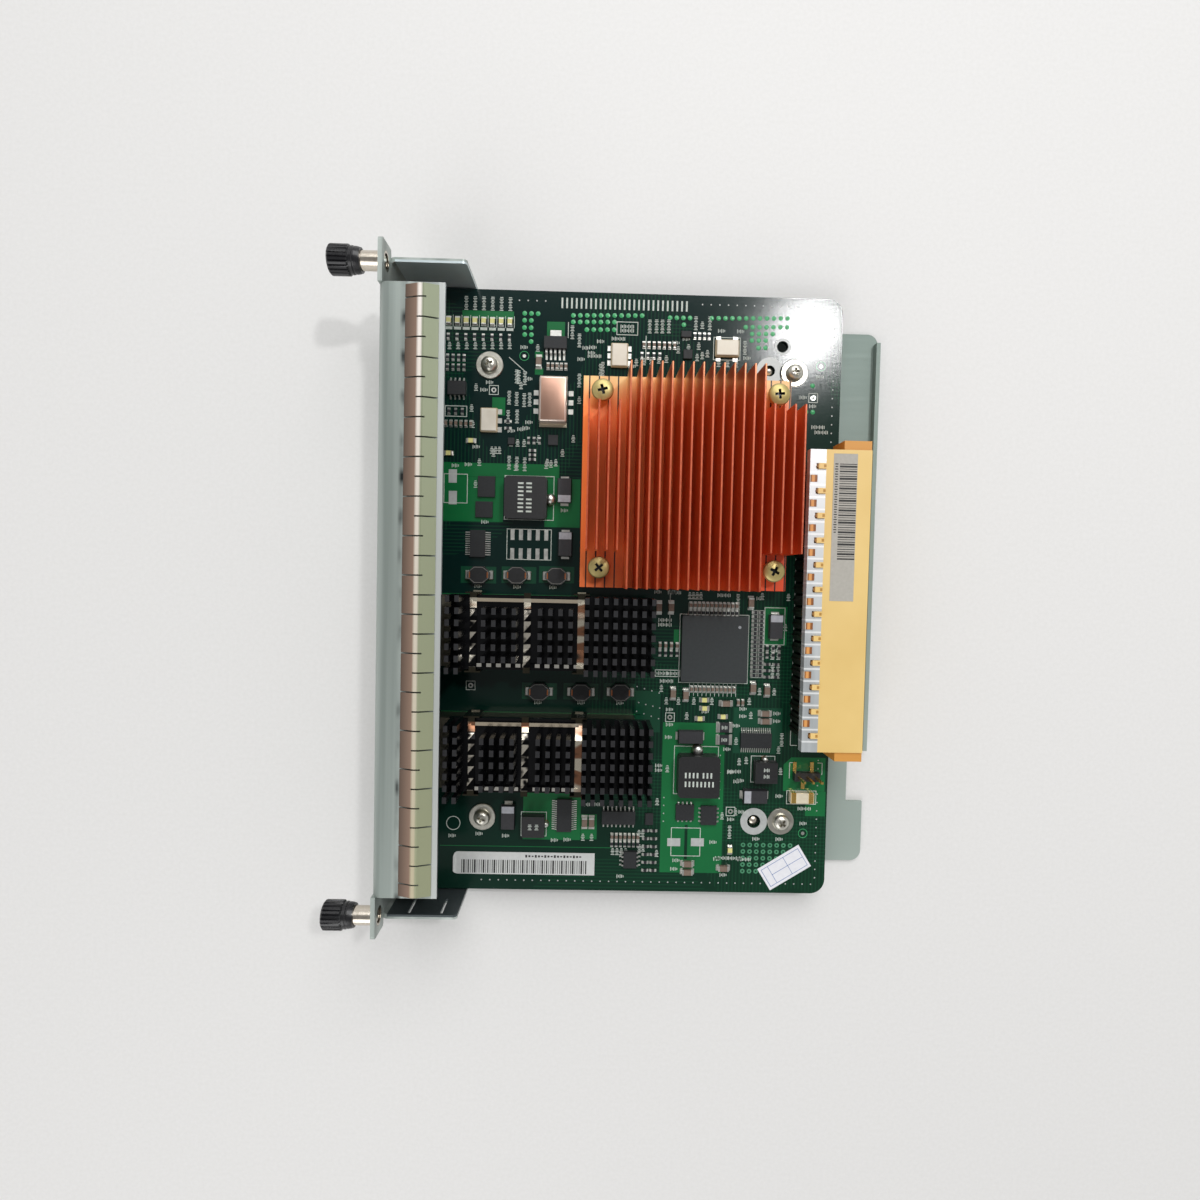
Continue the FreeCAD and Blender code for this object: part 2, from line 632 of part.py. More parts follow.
chip_half = CHIP_SIZE / 2
save("main_chip", box(SINK_X - chip_half, SINK_X + chip_half, SINK_Y - chip_half, SINK_Y + chip_half,
                      BOARD_TOP, BOARD_TOP + CHIP_H))
save("thermal_pad", box(SINK_X - chip_half, SINK_X + chip_half, SINK_Y - chip_half, SINK_Y + chip_half,
                        BOARD_TOP + CHIP_H, sink_bottom))

# Backplane connector: moulded housing over the board edge, wafers behind it, steel stiffener on top
conn_top = BOARD_TOP + CONN_H
conn_rear = BOARD_REAR + CONN_OVERHANG
house_x0 = conn_rear - CONN_HOUSING_D
wafer_x0 = house_x0 - WAFER_D
stiff_z = conn_top - STIFF_T
wafer_y = [(i - (WAFER_COUNT - 1) / 2) * WAFER_PITCH for i in range(WAFER_COUNT)]
skirt_x = BOARD_REAR + CONN_EDGE_GAP
housing = fuse([
    box(house_x0, conn_rear, -CONN_HALF, CONN_HALF, BOARD_TOP, conn_top),
    box(skirt_x, conn_rear, -CONN_HALF, CONN_HALF, BOARD_TOP - CONN_BELOW, BOARD_TOP),
    box(conn_rear - GUIDE_D, conn_rear, -CONN_HALF - GUIDE_OUT, CONN_HALF + GUIDE_OUT,
        BOARD_TOP + GUIDE_BOTTOM, conn_top - STIFF_T),
])
mouth_z = (BOARD_TOP - CONN_BELOW + conn_top - CONN_SLOT_H) / 2
mouth_x = conn_rear - CONN_SLOT_D
housing = housing.cut([
    box(mouth_x, conn_rear, y - CONN_SLOT_W / 2, y + CONN_SLOT_W / 2, mouth_z, mouth_z + CONN_SLOT_H)
    for y in wafer_y
])
save("connector_housing", housing)

wafers = []
peg_cuts = []
tails = []
for i, y in enumerate(wafer_y):
    plate = box(wafer_x0, house_x0, y - WAFER_T / 2, y + WAFER_T / 2, BOARD_TOP, stiff_z)
    if i % 2 == 0:
        peg = box(house_x0 - PEG_L, house_x0, y - PEG_W / 2, y + PEG_W / 2, stiff_z, conn_top + PEG_RISE)
        peg = peg.makeChamfer(PEG_W / 3, edges_at(peg, V(0, 0, 1), lambda p: p.x < house_x0 - PEG_L / 2))
        room = PEG_W / 2 + FIT
        hole = box(house_x0 - PEG_L - FIT, house_x0, y - room, y + room, stiff_z, conn_top)
    else:
        low = conn_top - EDGE_PEG_DROP
        edge = EDGE_PEG_W / 2
        peg = box(wafer_x0 - STIFF_T, wafer_x0 + EDGE_PEG_L, y - edge, y + edge, low, conn_top)
        room = edge + FIT
        hole = box(wafer_x0 - STIFF_T, wafer_x0 + EDGE_PEG_L + FIT, y - room, y + room, low - FIT, conn_top)
    wafers.append(plate.fuse(peg).removeSplitter())
    peg_cuts.append(hole)
    tail = TAIL_W / 2
    tails.append(box(wafer_x0 - TAIL_W, wafer_x0, y - tail, y + tail, BOARD_TOP, conn_top - STIFF_DROP))
save("connector_wafers", wafers)
save("connector_tails", tails)

stiffener = fuse([
    box(wafer_x0 - STIFF_T, house_x0, -CONN_HALF, CONN_HALF, stiff_z, conn_top),
    box(wafer_x0 - STIFF_T, wafer_x0, -CONN_HALF, CONN_HALF, conn_top - STIFF_DROP, conn_top),
])
save("connector_stiffener", stiffener.cut(peg_cuts))

# Chips, coils and capacitors soldered on the board
def on_board(x, y, length, width, height, turn=0):
    solid = box(x - length / 2, x + length / 2, y - width / 2, y + width / 2, BOARD_TOP, BOARD_TOP + height)
    solid.rotate(V(x, y, 0), V(0, 0, 1), turn)
    return solid


def tapered(x, y, length, width, height, draft, turn=0):
    def ring(grow, z):
        a, b = length / 2 + grow, width / 2 + grow
        corners = ((-1, -1), (1, -1), (1, 1), (-1, 1), (-1, -1))
        return Part.makePolygon([V(x + i * a, y + j * b, z) for i, j in corners])
    middle = BOARD_TOP + height / 2
    lower = Part.makeLoft([ring(-draft, BOARD_TOP), ring(0, middle)], True, True)
    upper = Part.makeLoft([ring(0, middle), ring(-draft, BOARD_TOP + height)], True, True)
    solid = lower.fuse(upper)
    solid.rotate(V(x, y, 0), V(0, 0, 1), turn)
    return solid


save("phy_chip", on_board(*PHY_PLACE, PHY_SIZE, PHY_SIZE, PHY_H))

coils = []
for x, y in POWER_COIL_PLACES:
    body = on_board(x, y, POWER_COIL_SIZE, POWER_COIL_SIZE, POWER_COIL_H)
    body = body.makeChamfer(POWER_COIL_BEVEL, edges_at(body, V(0, 0, 1), lambda p: True))
    coils.append(body)
save("power_inductors", coils)
save("chip_inductors", [on_board(x, y, *CHIP_COIL) for x, y in CHIP_COIL_PLACES])

chokes = []
for x, y in CHOKE_PLACES:
    body = on_board(x, y, CHOKE_L, CHOKE_W, CHOKE_H)
    body = body.makeChamfer(CHOKE_CUT, edges_at(body, V(0, 0, 1), lambda p: True))
    feet = on_board(x, y, CHOKE_L + 2 * CHOKE_FOOT, CHOKE_FOOT_W, CHOKE_FOOT_H)
    chokes.append(body.fuse(feet).removeSplitter())
save("choke_coils", chokes)

save("tantalum_capacitors", [
    tapered(x, y, TANTALUM_L, TANTALUM_W, TANTALUM_H, TANTALUM_DRAFT, turn) for x, y, turn in TANTALUM_PLACES
])

save("power_diode", tapered(*DIODE_PLACE, DIODE_L, DIODE_W, DIODE_H, DIODE_DRAFT))

can_x, can_y = CAN_PLACE
base = on_board(can_x, can_y, CAN_W, CAN_L + 2 * CAN_BASE_GROW, CAN_BASE_T)
can = on_board(can_x, can_y, CAN_W, CAN_L, CAN_H)
can = can.makeChamfer(CAN_CORNER, edges_at(can, V(0, 0, 1), lambda p: True))
save("oscillator_can", can.cut(base).removeSplitter())
save("oscillator_base", base)
small_cans = []
for x, y, turn in SMALL_CAN_PLACES:
    body = on_board(x, y, SMALL_CAN_L, SMALL_CAN_W, SMALL_CAN_H, turn)
    small_cans.append(body.makeChamfer(SMALL_CAN_CORNER, edges_at(body, V(0, 0, 1), lambda p: True)))
save("small_oscillators", small_cans)

reg_x, reg_y = REGULATOR_PLACE
reg_l, reg_w, reg_h = REGULATOR_BODY
tab_l, tab_w, tab_h = REGULATOR_TAB
save("tab_regulator", on_board(reg_x, reg_y, reg_l, reg_w, reg_h).fuse(
    on_board(reg_x, reg_y + reg_w / 2 + tab_w / 2, tab_l, tab_w, tab_h)).removeSplitter())

save("outline_chips", [on_board(x, y, a, b, SO_H) for x, y, a, b in SO_CHIPS])
save("thin_chips", [on_board(x, y, a, b, THIN_H) for x, y, a, b in THIN_CHIPS])
save("power_switches", [on_board(x, y, a, b, FLAT_H) for x, y, a, b in FLAT_CHIPS])
led_x, led_y = LED_FIRST
save("indicator_leds", [on_board(led_x + i * LED_PITCH, led_y, *LED_SIZE) for i in range(LED_COUNT)])

# Jumper header with square pins, and the board fuse
head_x, head_y = HEADER_PLACE
columns = [head_x + (i - (HEADER_COLUMN_COUNT - 1) / 2) * HEADER_PITCH for i in range(HEADER_COLUMN_COUNT)]
rows = [head_y + (j - (HEADER_ROW_COUNT - 1) / 2) * HEADER_PITCH for j in range(HEADER_ROW_COUNT)]
pin_places = [(x, y) for x in columns for y in rows]
header_l, header_w = HEADER_COLUMN_COUNT * HEADER_PITCH, HEADER_ROW_COUNT * HEADER_PITCH
header = on_board(head_x, head_y, header_l, header_w, HEADER_BODY_H)
pins = [on_board(x, y, HEADER_PIN, HEADER_PIN, HEADER_PIN_H) for x, y in pin_places]
save("pin_header", header.cut(pins))
save("header_pins", pins)
save("board_fuse", on_board(*FUSE_PLACE, *FUSE_SIZE))
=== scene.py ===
import bpy
import math
from mathutils import Matrix, Vector


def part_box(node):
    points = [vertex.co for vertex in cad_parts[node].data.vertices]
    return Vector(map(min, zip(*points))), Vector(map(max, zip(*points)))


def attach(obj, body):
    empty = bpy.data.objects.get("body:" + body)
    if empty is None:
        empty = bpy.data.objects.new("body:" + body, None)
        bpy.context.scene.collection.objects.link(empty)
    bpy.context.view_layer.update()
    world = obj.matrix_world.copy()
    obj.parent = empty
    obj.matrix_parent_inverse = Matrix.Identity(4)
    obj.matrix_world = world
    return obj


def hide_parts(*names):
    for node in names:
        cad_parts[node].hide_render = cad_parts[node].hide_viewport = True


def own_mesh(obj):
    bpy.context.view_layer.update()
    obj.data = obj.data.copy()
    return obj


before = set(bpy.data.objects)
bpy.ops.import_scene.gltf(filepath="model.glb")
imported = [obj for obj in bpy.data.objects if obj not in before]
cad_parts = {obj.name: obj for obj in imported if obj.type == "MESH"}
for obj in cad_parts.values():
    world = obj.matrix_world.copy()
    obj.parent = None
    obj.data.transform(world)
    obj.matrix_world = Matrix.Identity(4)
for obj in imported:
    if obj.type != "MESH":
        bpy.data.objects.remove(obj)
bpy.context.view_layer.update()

# Table, light and camera
# The card lies on a pale table top and is seen from close above it. The light is soft from all
# round, with one lamp beyond the rear corner that glints in the lacquer of the board.
HORIZON_LIGHT = 0.95
ZENITH_LIGHT = 0.22
TABLE_SIZE = 12
PANEL_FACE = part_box("front_panel")[0].x
CAMERA_PLACE = (PANEL_FACE + 0.055555, 0.006369, 0.22915)
CAMERA_TURN = (-0.0355, -0.0179, 0.0220)
CAMERA_LENS = 22.38
CAMERA_SHIFT = (-1 / 1200, 0.4 / 1200)


def ink(red, green, blue):
    """A colour as seen, 0 to 255, in the linear values that a shader takes."""
    shares = [c / 255 for c in (red, green, blue)]
    return [s / 12.92 if s < 0.04045 else ((s + 0.055) / 1.055) ** 2.4 for s in shares] + [1]


class Tone:
    """A value that changes over a surface, held as the socket that gives it."""

    def __init__(self, finish, socket):
        self.finish = finish
        self.socket = socket

    def __add__(self, other):
        return self.finish.math("ADD", self, other)

    def __sub__(self, other):
        return self.finish.math("SUBTRACT", self, other)

    def __rsub__(self, other):
        return self.finish.math("SUBTRACT", other, self)

    def __mul__(self, other):
        return self.finish.math("MULTIPLY", self, other)

    def __mod__(self, other):
        return self.finish.math("FLOORED_MODULO", self, other)

    def __gt__(self, other):
        return self.finish.math("GREATER_THAN", self, other)

    def __lt__(self, other):
        return self.finish.math("LESS_THAN", self, other)

    def __abs__(self):
        return self.finish.math("ABSOLUTE", self, 0)

    __radd__ = __add__
    __rmul__ = __mul__


class Finish:
    """The node tree of a material or of the room, and the nodes put into it."""

    def __init__(self, name, owner=None):
        self.owner = owner or bpy.data.materials.new(name)
        self.owner.use_nodes = True
        self.nodes = self.owner.node_tree.nodes
        self.shader = self.nodes["Background" if owner else "Principled BSDF"]

    def plug(self, node, sockets):
        for name, value in sockets.items():
            if isinstance(value, Tone):
                self.owner.node_tree.links.new(value.socket, node.inputs[name])
            else:
                node.inputs[name].default_value = value

    def set(self, sockets):
        self.plug(self.shader, sockets)
        return self

    def node(self, kind, settings, sockets, output=0):
        made = self.nodes.new("ShaderNode" + kind)
        for name, value in settings.items():
            setattr(made, name, value)
        self.plug(made, sockets)
        return Tone(self, made.outputs[output])

    def math(self, operation, first, second):
        return self.node("Math", {"operation": operation}, {0: first, 1: second})

    def mix(self, share, first, second):
        return self.node("Mix", {"data_type": "RGBA"}, {0: share, 6: first, 7: second}, 2)

    def place(self, axis):
        point = self.node("TexCoord", {}, {}, "Object")
        return self.node("SeparateXYZ", {}, {"Vector": point}, axis)

    def grain(self, scale, stretch=(1, 1, 1), detail=3):
        point = self.node("TexCoord", {}, {}, "Object")
        spread = self.node("Mapping", {}, {"Vector": point, "Scale": stretch})
        return self.node("TexNoise", {}, {"Vector": spread, "Scale": scale, "Detail": detail})

    def ramp(self, value, low, high):
        """0 at the low end of a stretch, 1 at its high end, even between them."""
        return self.node("MapRange", {}, {"Value": value, "From Min": low, "From Max": high})

    def band(self, value, middle, half, soft):
        """1 within half of the middle, falling to 0 over the soft edge."""
        ends = {"From Min": half, "From Max": half + soft, "To Min": 1, "To Max": 0}
        return self.node("MapRange", {}, {"Value": abs(value - middle), **ends})

    def bump(self, height, depth):
        return self.node("Bump", {}, {"Height": height, "Distance": depth})


bpy.context.scene.view_settings.view_transform = "Standard"
bpy.context.scene.world = bpy.data.worlds.new("soft_room")
room = Finish("soft_room", bpy.context.scene.world)
sight = room.node("TexCoord", {}, {}, "Generated")
upward = room.node("SeparateXYZ", {}, {"Vector": sight}, "Z")
height = room.ramp(upward, 0, 1)
room.set({"Color": room.mix(height, [HORIZON_LIGHT] * 3 + [1], [ZENITH_LIGHT] * 3 + [1])})


def lamp(name, place, size, watts):
    bpy.ops.object.light_add(type="AREA", location=place)
    light = bpy.context.object
    light.name = name
    light.data.size = size
    light.data.energy = watts
    light.rotation_euler = (-Vector(place)).to_track_quat("-Z", "Y").to_euler()


bpy.ops.object.select_all(action="DESELECT")
lamp("window", (0.08, 1.1, 1.2), 1.0, 12)
lamp("fill", (-0.5, -1.1, 1.0), 1.0, 7)
lamp("glint", (0.31, 0.37, 0.9), 0.06, 2.3)

bpy.ops.object.camera_add(location=CAMERA_PLACE, rotation=CAMERA_TURN)
camera = bpy.context.object
camera.data.lens = CAMERA_LENS
camera.data.shift_x, camera.data.shift_y = CAMERA_SHIFT
bpy.context.scene.camera = camera

table_top = Finish("table_top")
speckle = table_top.grain(900, detail=4)
table_top.set({
    "Base Color": table_top.mix(speckle, ink(216, 215, 213), ink(226, 225, 224)),
    "Roughness": 0.6,
})
bpy.ops.mesh.primitive_plane_add(size=TABLE_SIZE)
table = bpy.context.object
table.name = "table"
table.data.materials.append(table_top.owner)

# Base tray and its standoffs
# One folded steel sheet with a clear zinc finish, rolled up at the rear into a hem, and four
# hexagonal standoffs of nickel-plated brass pressed into it that carry the board.


def dress(finish, *nodes):
    """Gives CAD nodes their finish."""
    for node in nodes:
        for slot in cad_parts[node].material_slots:
            slot.material = finish.owner


def plain_finish(
        name, scale, dark, light, rough, spread=0, metal=0, gloss=0.5, relief=0, stretch=(1, 1, 1)):
    """Two close tones in one grain, which may also vary the roughness and stand out in relief."""
    finish = Finish(name)
    grain = finish.grain(scale, stretch)
    if relief:
        finish.set({"Normal": finish.bump(grain, relief)})
    return finish.set({
        "Base Color": finish.mix(grain, ink(*dark), ink(*light)),
        "Metallic": metal,
        "Roughness": rough + grain * spread if spread else rough,
        "Specular IOR Level": gloss,
    })


tray_sheet = Finish("tray_sheet")
rolling = tray_sheet.grain(60, (1, 14, 1))
# The tone is random cloud mixed with a painted shade, darker towards +Y and lighter towards -Y.
cloud_and_painted_shade = tray_sheet.grain(28) * 0.4 + tray_sheet.ramp(tray_sheet.place("Y"), 0.08, -0.08) * 0.6
tray_sheet.set({
    "Base Color": tray_sheet.mix(cloud_and_painted_shade, ink(112, 128, 121), ink(168, 180, 173)),
    "Metallic": 0.2,
    "Roughness": 0.42 + rolling * 0.2,
    "Normal": tray_sheet.bump(rolling, 0.00002),
})
nickel = plain_finish(
    "nickel", 700, (196, 186, 170), (222, 214, 202),
    rough=0.16, spread=0.14, metal=1, stretch=(4, 1, 1))
dress(tray_sheet, "base_tray")
dress(nickel, "tray_standoffs")

# Circuit board
# Glass-cloth laminate under dark green solder mask. Copper areas shine through it in a brighter
# green, bare pads are tinned, and the outlines are printed on it in white.
MM = 0.001
BOARD_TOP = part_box("circuit_board")[1].z
BENCH = Matrix.Translation((PANEL_FACE, 0, BOARD_TOP)) @ Matrix.Scale(MM, 4)
POUR_T = 0.035
PAD_T = 0.05
PRINT_T = 0.07
PRINT_LINE = 0.2
CLOTH_PER_METRE = 2600
TRACE_PER_METRE = 950

mask = Finish("solder_mask")
along_x = mask.place("X")
along_y = mask.place("Y")
runs = ((along_x * TRACE_PER_METRE) % 1 > 0.66) * (mask.grain(34, (1, 0.5, 1), 0) > 0.56)
rungs = ((along_y * TRACE_PER_METRE) % 1 > 0.66) * (mask.grain(30, (0.5, 1.2, 1), 0) > 0.57)
# The base green carries a painted reflection: bluer and darker towards the panel and +Y side, greener
# towards the rear and -Y side.
mask_green_with_painted_haze = mask.mix(mask.ramp(along_x - along_y, -0.06, 0.13), ink(10, 34, 32), ink(12, 47, 31))
cloth = abs((along_x * CLOTH_PER_METRE) % 1 - 0.5) + abs((along_y * CLOTH_PER_METRE) % 1 - 0.5)
mask.set({
    "Base Color": mask.mix((runs + rungs) * 0.45, mask_green_with_painted_haze, ink(22, 70, 46)),
    "Roughness": 0.13,
    "Specular IOR Level": 0.3,
    "Normal": mask.bump(cloth, 0.000004),
})
dress(mask, "circuit_board")


def mask_over(name, dark, light):
    """Solder mask with copper under it, cloudy in two greens."""
    finish = Finish(name)
    return finish.set({
        "Base Color": finish.mix(finish.grain(45), dark, light),
        "Roughness": 0.2,
        "Specular IOR Level": 0.4,
        "Normal": finish.bump(finish.grain(1500), 0.000006),
    })


pour_mask = mask_over("mask_over_copper", ink(14, 88, 48), ink(24, 112, 60))
deep_mask = mask_over("mask_over_inner_copper", ink(16, 58, 42), ink(21, 74, 50))
via_mask = mask_over("mask_over_via", ink(40, 138, 82), ink(80, 180, 116))
ring_mask = mask_over("mask_over_ring", ink(48, 112, 80), ink(88, 150, 114))
tin = plain_finish(
    "tinned_pad", 900, (188, 188, 182), (228, 228, 222),
    rough=0.22, spread=0.2, metal=1, relief=0.00003)
dull_tin = plain_finish(
    "dull_tin", 700, (164, 167, 165), (194, 197, 195),
    rough=0.4, spread=0.15, metal=0.3)
white_ink = plain_finish("white_ink", 1400, (150, 160, 152), (214, 220, 212), rough=0.55)


def edit_all():
    bpy.ops.object.mode_set(mode="EDIT")
    bpy.ops.mesh.select_all(action="SELECT")


def leave_edit():
    bpy.ops.object.mode_set(mode="OBJECT")


def only(*pieces):
    """Selects these pieces alone, the first one active."""
    bpy.ops.object.select_all(action="DESELECT")
    for piece in pieces:
        piece.select_set(True)
    bpy.context.view_layer.objects.active = pieces[0]


def block(size, centre=(0, 0, 0), soft=0, segments=1):
    """A block of that size with its edges eased."""
    bpy.ops.mesh.primitive_cube_add(size=1, location=centre)
    bpy.context.object.scale = size
    bpy.ops.object.transform_apply()
    if soft:
        edit_all()
        bpy.ops.mesh.bevel(offset=soft, segments=segments)
        leave_edit()
    return bpy.context.object


def hollow(line, thick):
    """Leaves a rim of the line's width of the flat shape just added, and gives it its thickness."""
    bpy.ops.object.transform_apply()
    edit_all()
    bpy.ops.mesh.inset(thickness=line)
    bpy.ops.mesh.delete(type="FACE")
    bpy.ops.mesh.select_all(action="SELECT")
    bpy.ops.mesh.extrude_region_move(TRANSFORM_OT_translate={"value": (0, 0, thick)})
    bpy.ops.mesh.select_all(action="SELECT")
    bpy.ops.mesh.normals_make_consistent(inside=False)
    leave_edit()
    return bpy.context.object


def printed_frame(x0, y0, x1, y1):
    bpy.ops.mesh.primitive_plane_add(size=1, location=((x0 + x1) / 2, (y0 + y1) / 2, 0))
    bpy.context.object.scale = (abs(x1 - x0), abs(y1 - y0), 1)
    return hollow(PRINT_LINE, PRINT_T)


def ring(x, y, radius, line, thick):
    bpy.ops.mesh.primitive_circle_add(vertices=32, radius=radius, fill_type="NGON", location=(x, y, 0))
    return hollow(line, thick)


def lathe(points, sides=24):
    """A turned piece: an outline of (radius, height) points spun round the Z axis."""
    bpy.ops.mesh.primitive_circle_add(vertices=len(points), radius=1)
    piece = bpy.context.object
    for corner, (radius, height) in zip(piece.data.vertices, points):
        corner.co = (radius, 0, height)
    edit_all()
    bpy.ops.mesh.spin(steps=sides, angle=2 * math.pi, center=(0, 0, 0), axis=(0, 0, 1))
    bpy.ops.mesh.select_all(action="SELECT")
    bpy.ops.mesh.remove_doubles(threshold=0.0005)
    bpy.ops.mesh.delete_loose()
    bpy.ops.mesh.select_all(action="SELECT")
    bpy.ops.mesh.normals_make_consistent(inside=False)
    leave_edit()
    return piece


def pick(piece, test):
    """Goes into edit mode with only the corners that pass the test selected."""
    only(piece)
    bpy.ops.object.mode_set(mode="EDIT")
    bpy.ops.mesh.select_mode(type="VERT")
    bpy.ops.mesh.select_all(action="DESELECT")
    leave_edit()
    for corner in piece.data.vertices:
        corner.select = test(corner.co)
    bpy.ops.object.mode_set(mode="EDIT")


def paint(piece, finish, other=None, where=None):
    """Gives a piece its finish, and another one to the faces whose middle passes the test."""
    piece.data.materials.append(finish.owner)
    if other:
        piece.data.materials.append(other.owner)
        for face in piece.data.polygons:
            face.material_index = int(where(face.center))
    return piece


def join(pieces):
    only(*pieces)
    if len(pieces) > 1:
        bpy.ops.object.join()
    return pieces[0]


def set_out(pattern, places):
    """Copies the pattern to each place, given as x, y and turn in degrees, and joins the copies."""
    made = []
    for x, y, turn in places:
        copy = pattern.copy()
        copy.data = pattern.data.copy()
        turned = Matrix.Rotation(math.radians(turn), 4, "Z")
        copy.data.transform(Matrix.Translation((x, y, 0)) @ turned)
        bpy.context.collection.objects.link(copy)
        made.append(copy)
    bpy.data.objects.remove(pattern)
    return join(made)


def seat(piece, name, body="root"):
    """Brings a piece from the bench, in millimetres, to its place on the card and fixes it there.
    On the bench x counts from the panel's front face, y from the centre line and z from the board."""
    piece.name = name
    piece.data.name = name
    piece.data.transform(BENCH)
    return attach(piece, body)


def at(turn, *places):
    return [(x, y, turn) for x, y in places]


def row(x, y, step_x, step_y, count, turn=0):
    return [(x + k * step_x, y + k * step_y, turn) for k in range(count)]


def rows(*lines):
    return [place for line in lines for place in row(*line)]


POURS = (
    (25.0, 81.2, 15, 2.2), (40.0, 70.1, 2.4, 1.8), (40.1, 65.2, 2.4, 1.8), (28.5, 54.8, 3.8, 5.2),
    (29.6, 36.2, 34, 4.0), (21.4, 27.6, 17.8, 13.1), (47.7, 27.0, 10.4, 14.2), (44.8, 77.3, 5.2, 4.8),
    (82.6, -11.5, 2.1, 3.9), (111.8, -7.9, 6.8, 11.5), (88.3, -60.0, 18.6, 45.4), (125.4, -61.2, 6.0, 7.5),
    (46.4, -66.1, 17.2, 14.4), (57.5, -69.2, 4.8, 7.6),
)
DEEP_POURS = (
    (23.4, 5.4, 10.4, 4.9), (35.3, 5.6, 10.2, 4.9), (46.4, 5.9, 10.4, 4.9), (42.0, -28.7, 10.4, 4.9),
    (54.3, -28.6, 10.4, 4.9), (65.9, -28.4, 9.4, 4.9), (107.4, -39.4, 14.5, 13.8), (74.4, -34.2, 7.4, 12.4),
)
header_pour = block((12.6, 10.2, POUR_T), (121.8, -52.3, POUR_T / 2))
pick(header_pour, lambda corner: corner.x < 116 and corner.y > -48)
bpy.ops.mesh.bevel(offset=2.3)
leave_edit()
pours = [paint(header_pour, pour_mask)]
for finish, areas in ((pour_mask, POURS), (deep_mask, DEEP_POURS)):
    pours += [paint(block((w, d, POUR_T), (x, y, POUR_T / 2)), finish) for x, y, w, d in areas]
pours.append(paint(block((0.9, 10.4, 0.02), (86.7, -73.4, POUR_T + 0.01)), mask))
seat(join(pours), "board_copper_areas")

via_disc = lathe(((0, 0), (0.7, 0), (0.66, PAD_T), (0.3, PAD_T + 0.06), (0, PAD_T + 0.08)), 10)
paint(via_disc, via_mask)
via_ring = paint(lathe(((0.28, 0), (0.72, 0), (0.68, PAD_T), (0.32, PAD_T)), 12), ring_mask)
FILLED_VIAS = rows(
    (35.6, 81.9, 1.95, 0, 3), (35.6, 79.9, 1.95, 0, 2), (35.6, 77.8, 1.95, 0, 2),
    (35.7, 75.8, 1.95, 0, 2), (37.6, 73.8, 2, 0, 1), (49.8, 81.7, 2.01, 0.05, 11),
    (49.8, 79.8, 2.01, 0.05, 7), (53.8, 77.7, 2.01, 0.05, 5), (78.1, 81.8, 1.95, 0.03, 4),
    (82.2, 79.9, 2, 0, 1), (90.3, 82.0, 2.03, 0.05, 12), (100.4, 79.7, 2.03, 0.05, 7),
    (102.3, 77.8, 2.03, 0.05, 4), (102.3, 75.9, 2.03, 0.05, 3), (104.3, 73.8, 2.03, 0.05, 2),
    (118.9, 55.5, 2, 0, 2), (120.6, 63.2, 0, 0, 1),
)
RING_VIAS = [place for k in range(5) for place in row(104.0, -74 - 2 * k, 2.03, 0, 8)]
vias = join([set_out(via_disc, FILLED_VIAS), set_out(via_ring, RING_VIAS)])
seat(vias, "board_vias")

via_dot = paint(lathe(((0, 0), (0.22, 0), (0.2, PAD_T), (0, PAD_T)), 8), dull_tin)
EDGE_VIAS = rows(
    (34, 85.6, 2.55, 0.01, 4), (87.5, 85.9, 2.55, 0.01, 15), (126.6, 80, 0, -2.55, 16),
    (125.9, -48, 0, -2.55, 15), (25.7, -85.7, 2.54, 0, 40), (71, -26.8, 2.2, -0.6, 4),
    (71.6, -31.6, 2.1, -0.5, 4), (71, -34.2, 2.2, -0.7, 4), (79.8, -60, 0, -2.4, 4),
    (96.4, -47, 0, -2.6, 6),
)
seat(set_out(via_dot, EDGE_VIAS), "board_edge_vias")

pad = paint(block((1.15, 3.2, PAD_T), (0, 0, PAD_T / 2)), tin)
PADS = [(33.2 + 2.48 * k, y, 0) for k in range(5) for y in (17.5, 11.9)]
wide_pad = paint(block((3.9, 2.4, PAD_T), (0, 0, PAD_T / 2)), dull_tin)
WIDE_PADS = ((83.1, -73.5, 0), (90.2, -73.4, 0), (15.4, 34.2, 90), (15.5, 27.9, 90))
test_pad = paint(ring(0, 0, 0.75, 0.4, PAD_T), tin)
TEST_PADS = at(0, (27.0, 59.5), (120.9, 59.6), (81.0, -35.8), (99.9, -63.9), (21.6, -27.4))
FIDUCIALS = at(0, (35.7, 69.6), (122.9, 68.9), (121.9, -70.2))
aim_dot = paint(lathe(((0, 0), (0.5, 0), (0.5, PAD_T), (0, PAD_T)), 16), tin)
HOLE_RIMS = (
    (111.4, 74.3, 2.45, 1.7), (107.8, 67.2, 3.95, 1.6), (107.0, -66.8, 4.05, 2.0), (115.0, 66.6, 4.25, 1.8),
)
hole_rim = [
    paint(ring(x, y, radius, radius - hole, PAD_T), dull_tin) for x, y, radius, hole in HOLE_RIMS
]
board_pads = join([
    set_out(pad, PADS), set_out(wide_pad, WIDE_PADS), set_out(test_pad, TEST_PADS),
    set_out(aim_dot, FIDUCIALS), join(hole_rim),
])
seat(board_pads, "board_pads")

TRAY_TOP = -7.2
tooling_pin = lathe(((0, TRAY_TOP), (1.5, TRAY_TOP), (1.5, -1.2), (1.2, -0.7), (0.6, -0.4), (0, -0.3)), 20)
tooling_pins = set_out(paint(tooling_pin, nickel), [(107.8, 67.2, 0), (107.0, -66.8, 0)])
seat(tooling_pins, "tray_tooling_pins")

STROKE_HEIGHTS = (1.1, 0.7, 1.1, 0.9, 0.6)
STROKE_W = 0.22
STROKE_PITCH = 0.46


def word(strokes):
    """A printed reference as it looks from a step away: a few strokes of uneven height."""
    bars = []
    for k in range(strokes):
        tall = STROKE_HEIGHTS[k % len(STROKE_HEIGHTS)]
        x = (k - (strokes - 1) / 2) * STROKE_PITCH
        bars.append(paint(block((STROKE_W, tall, PRINT_T), (x, 0, PRINT_T / 2)), white_ink))
    return join(bars)


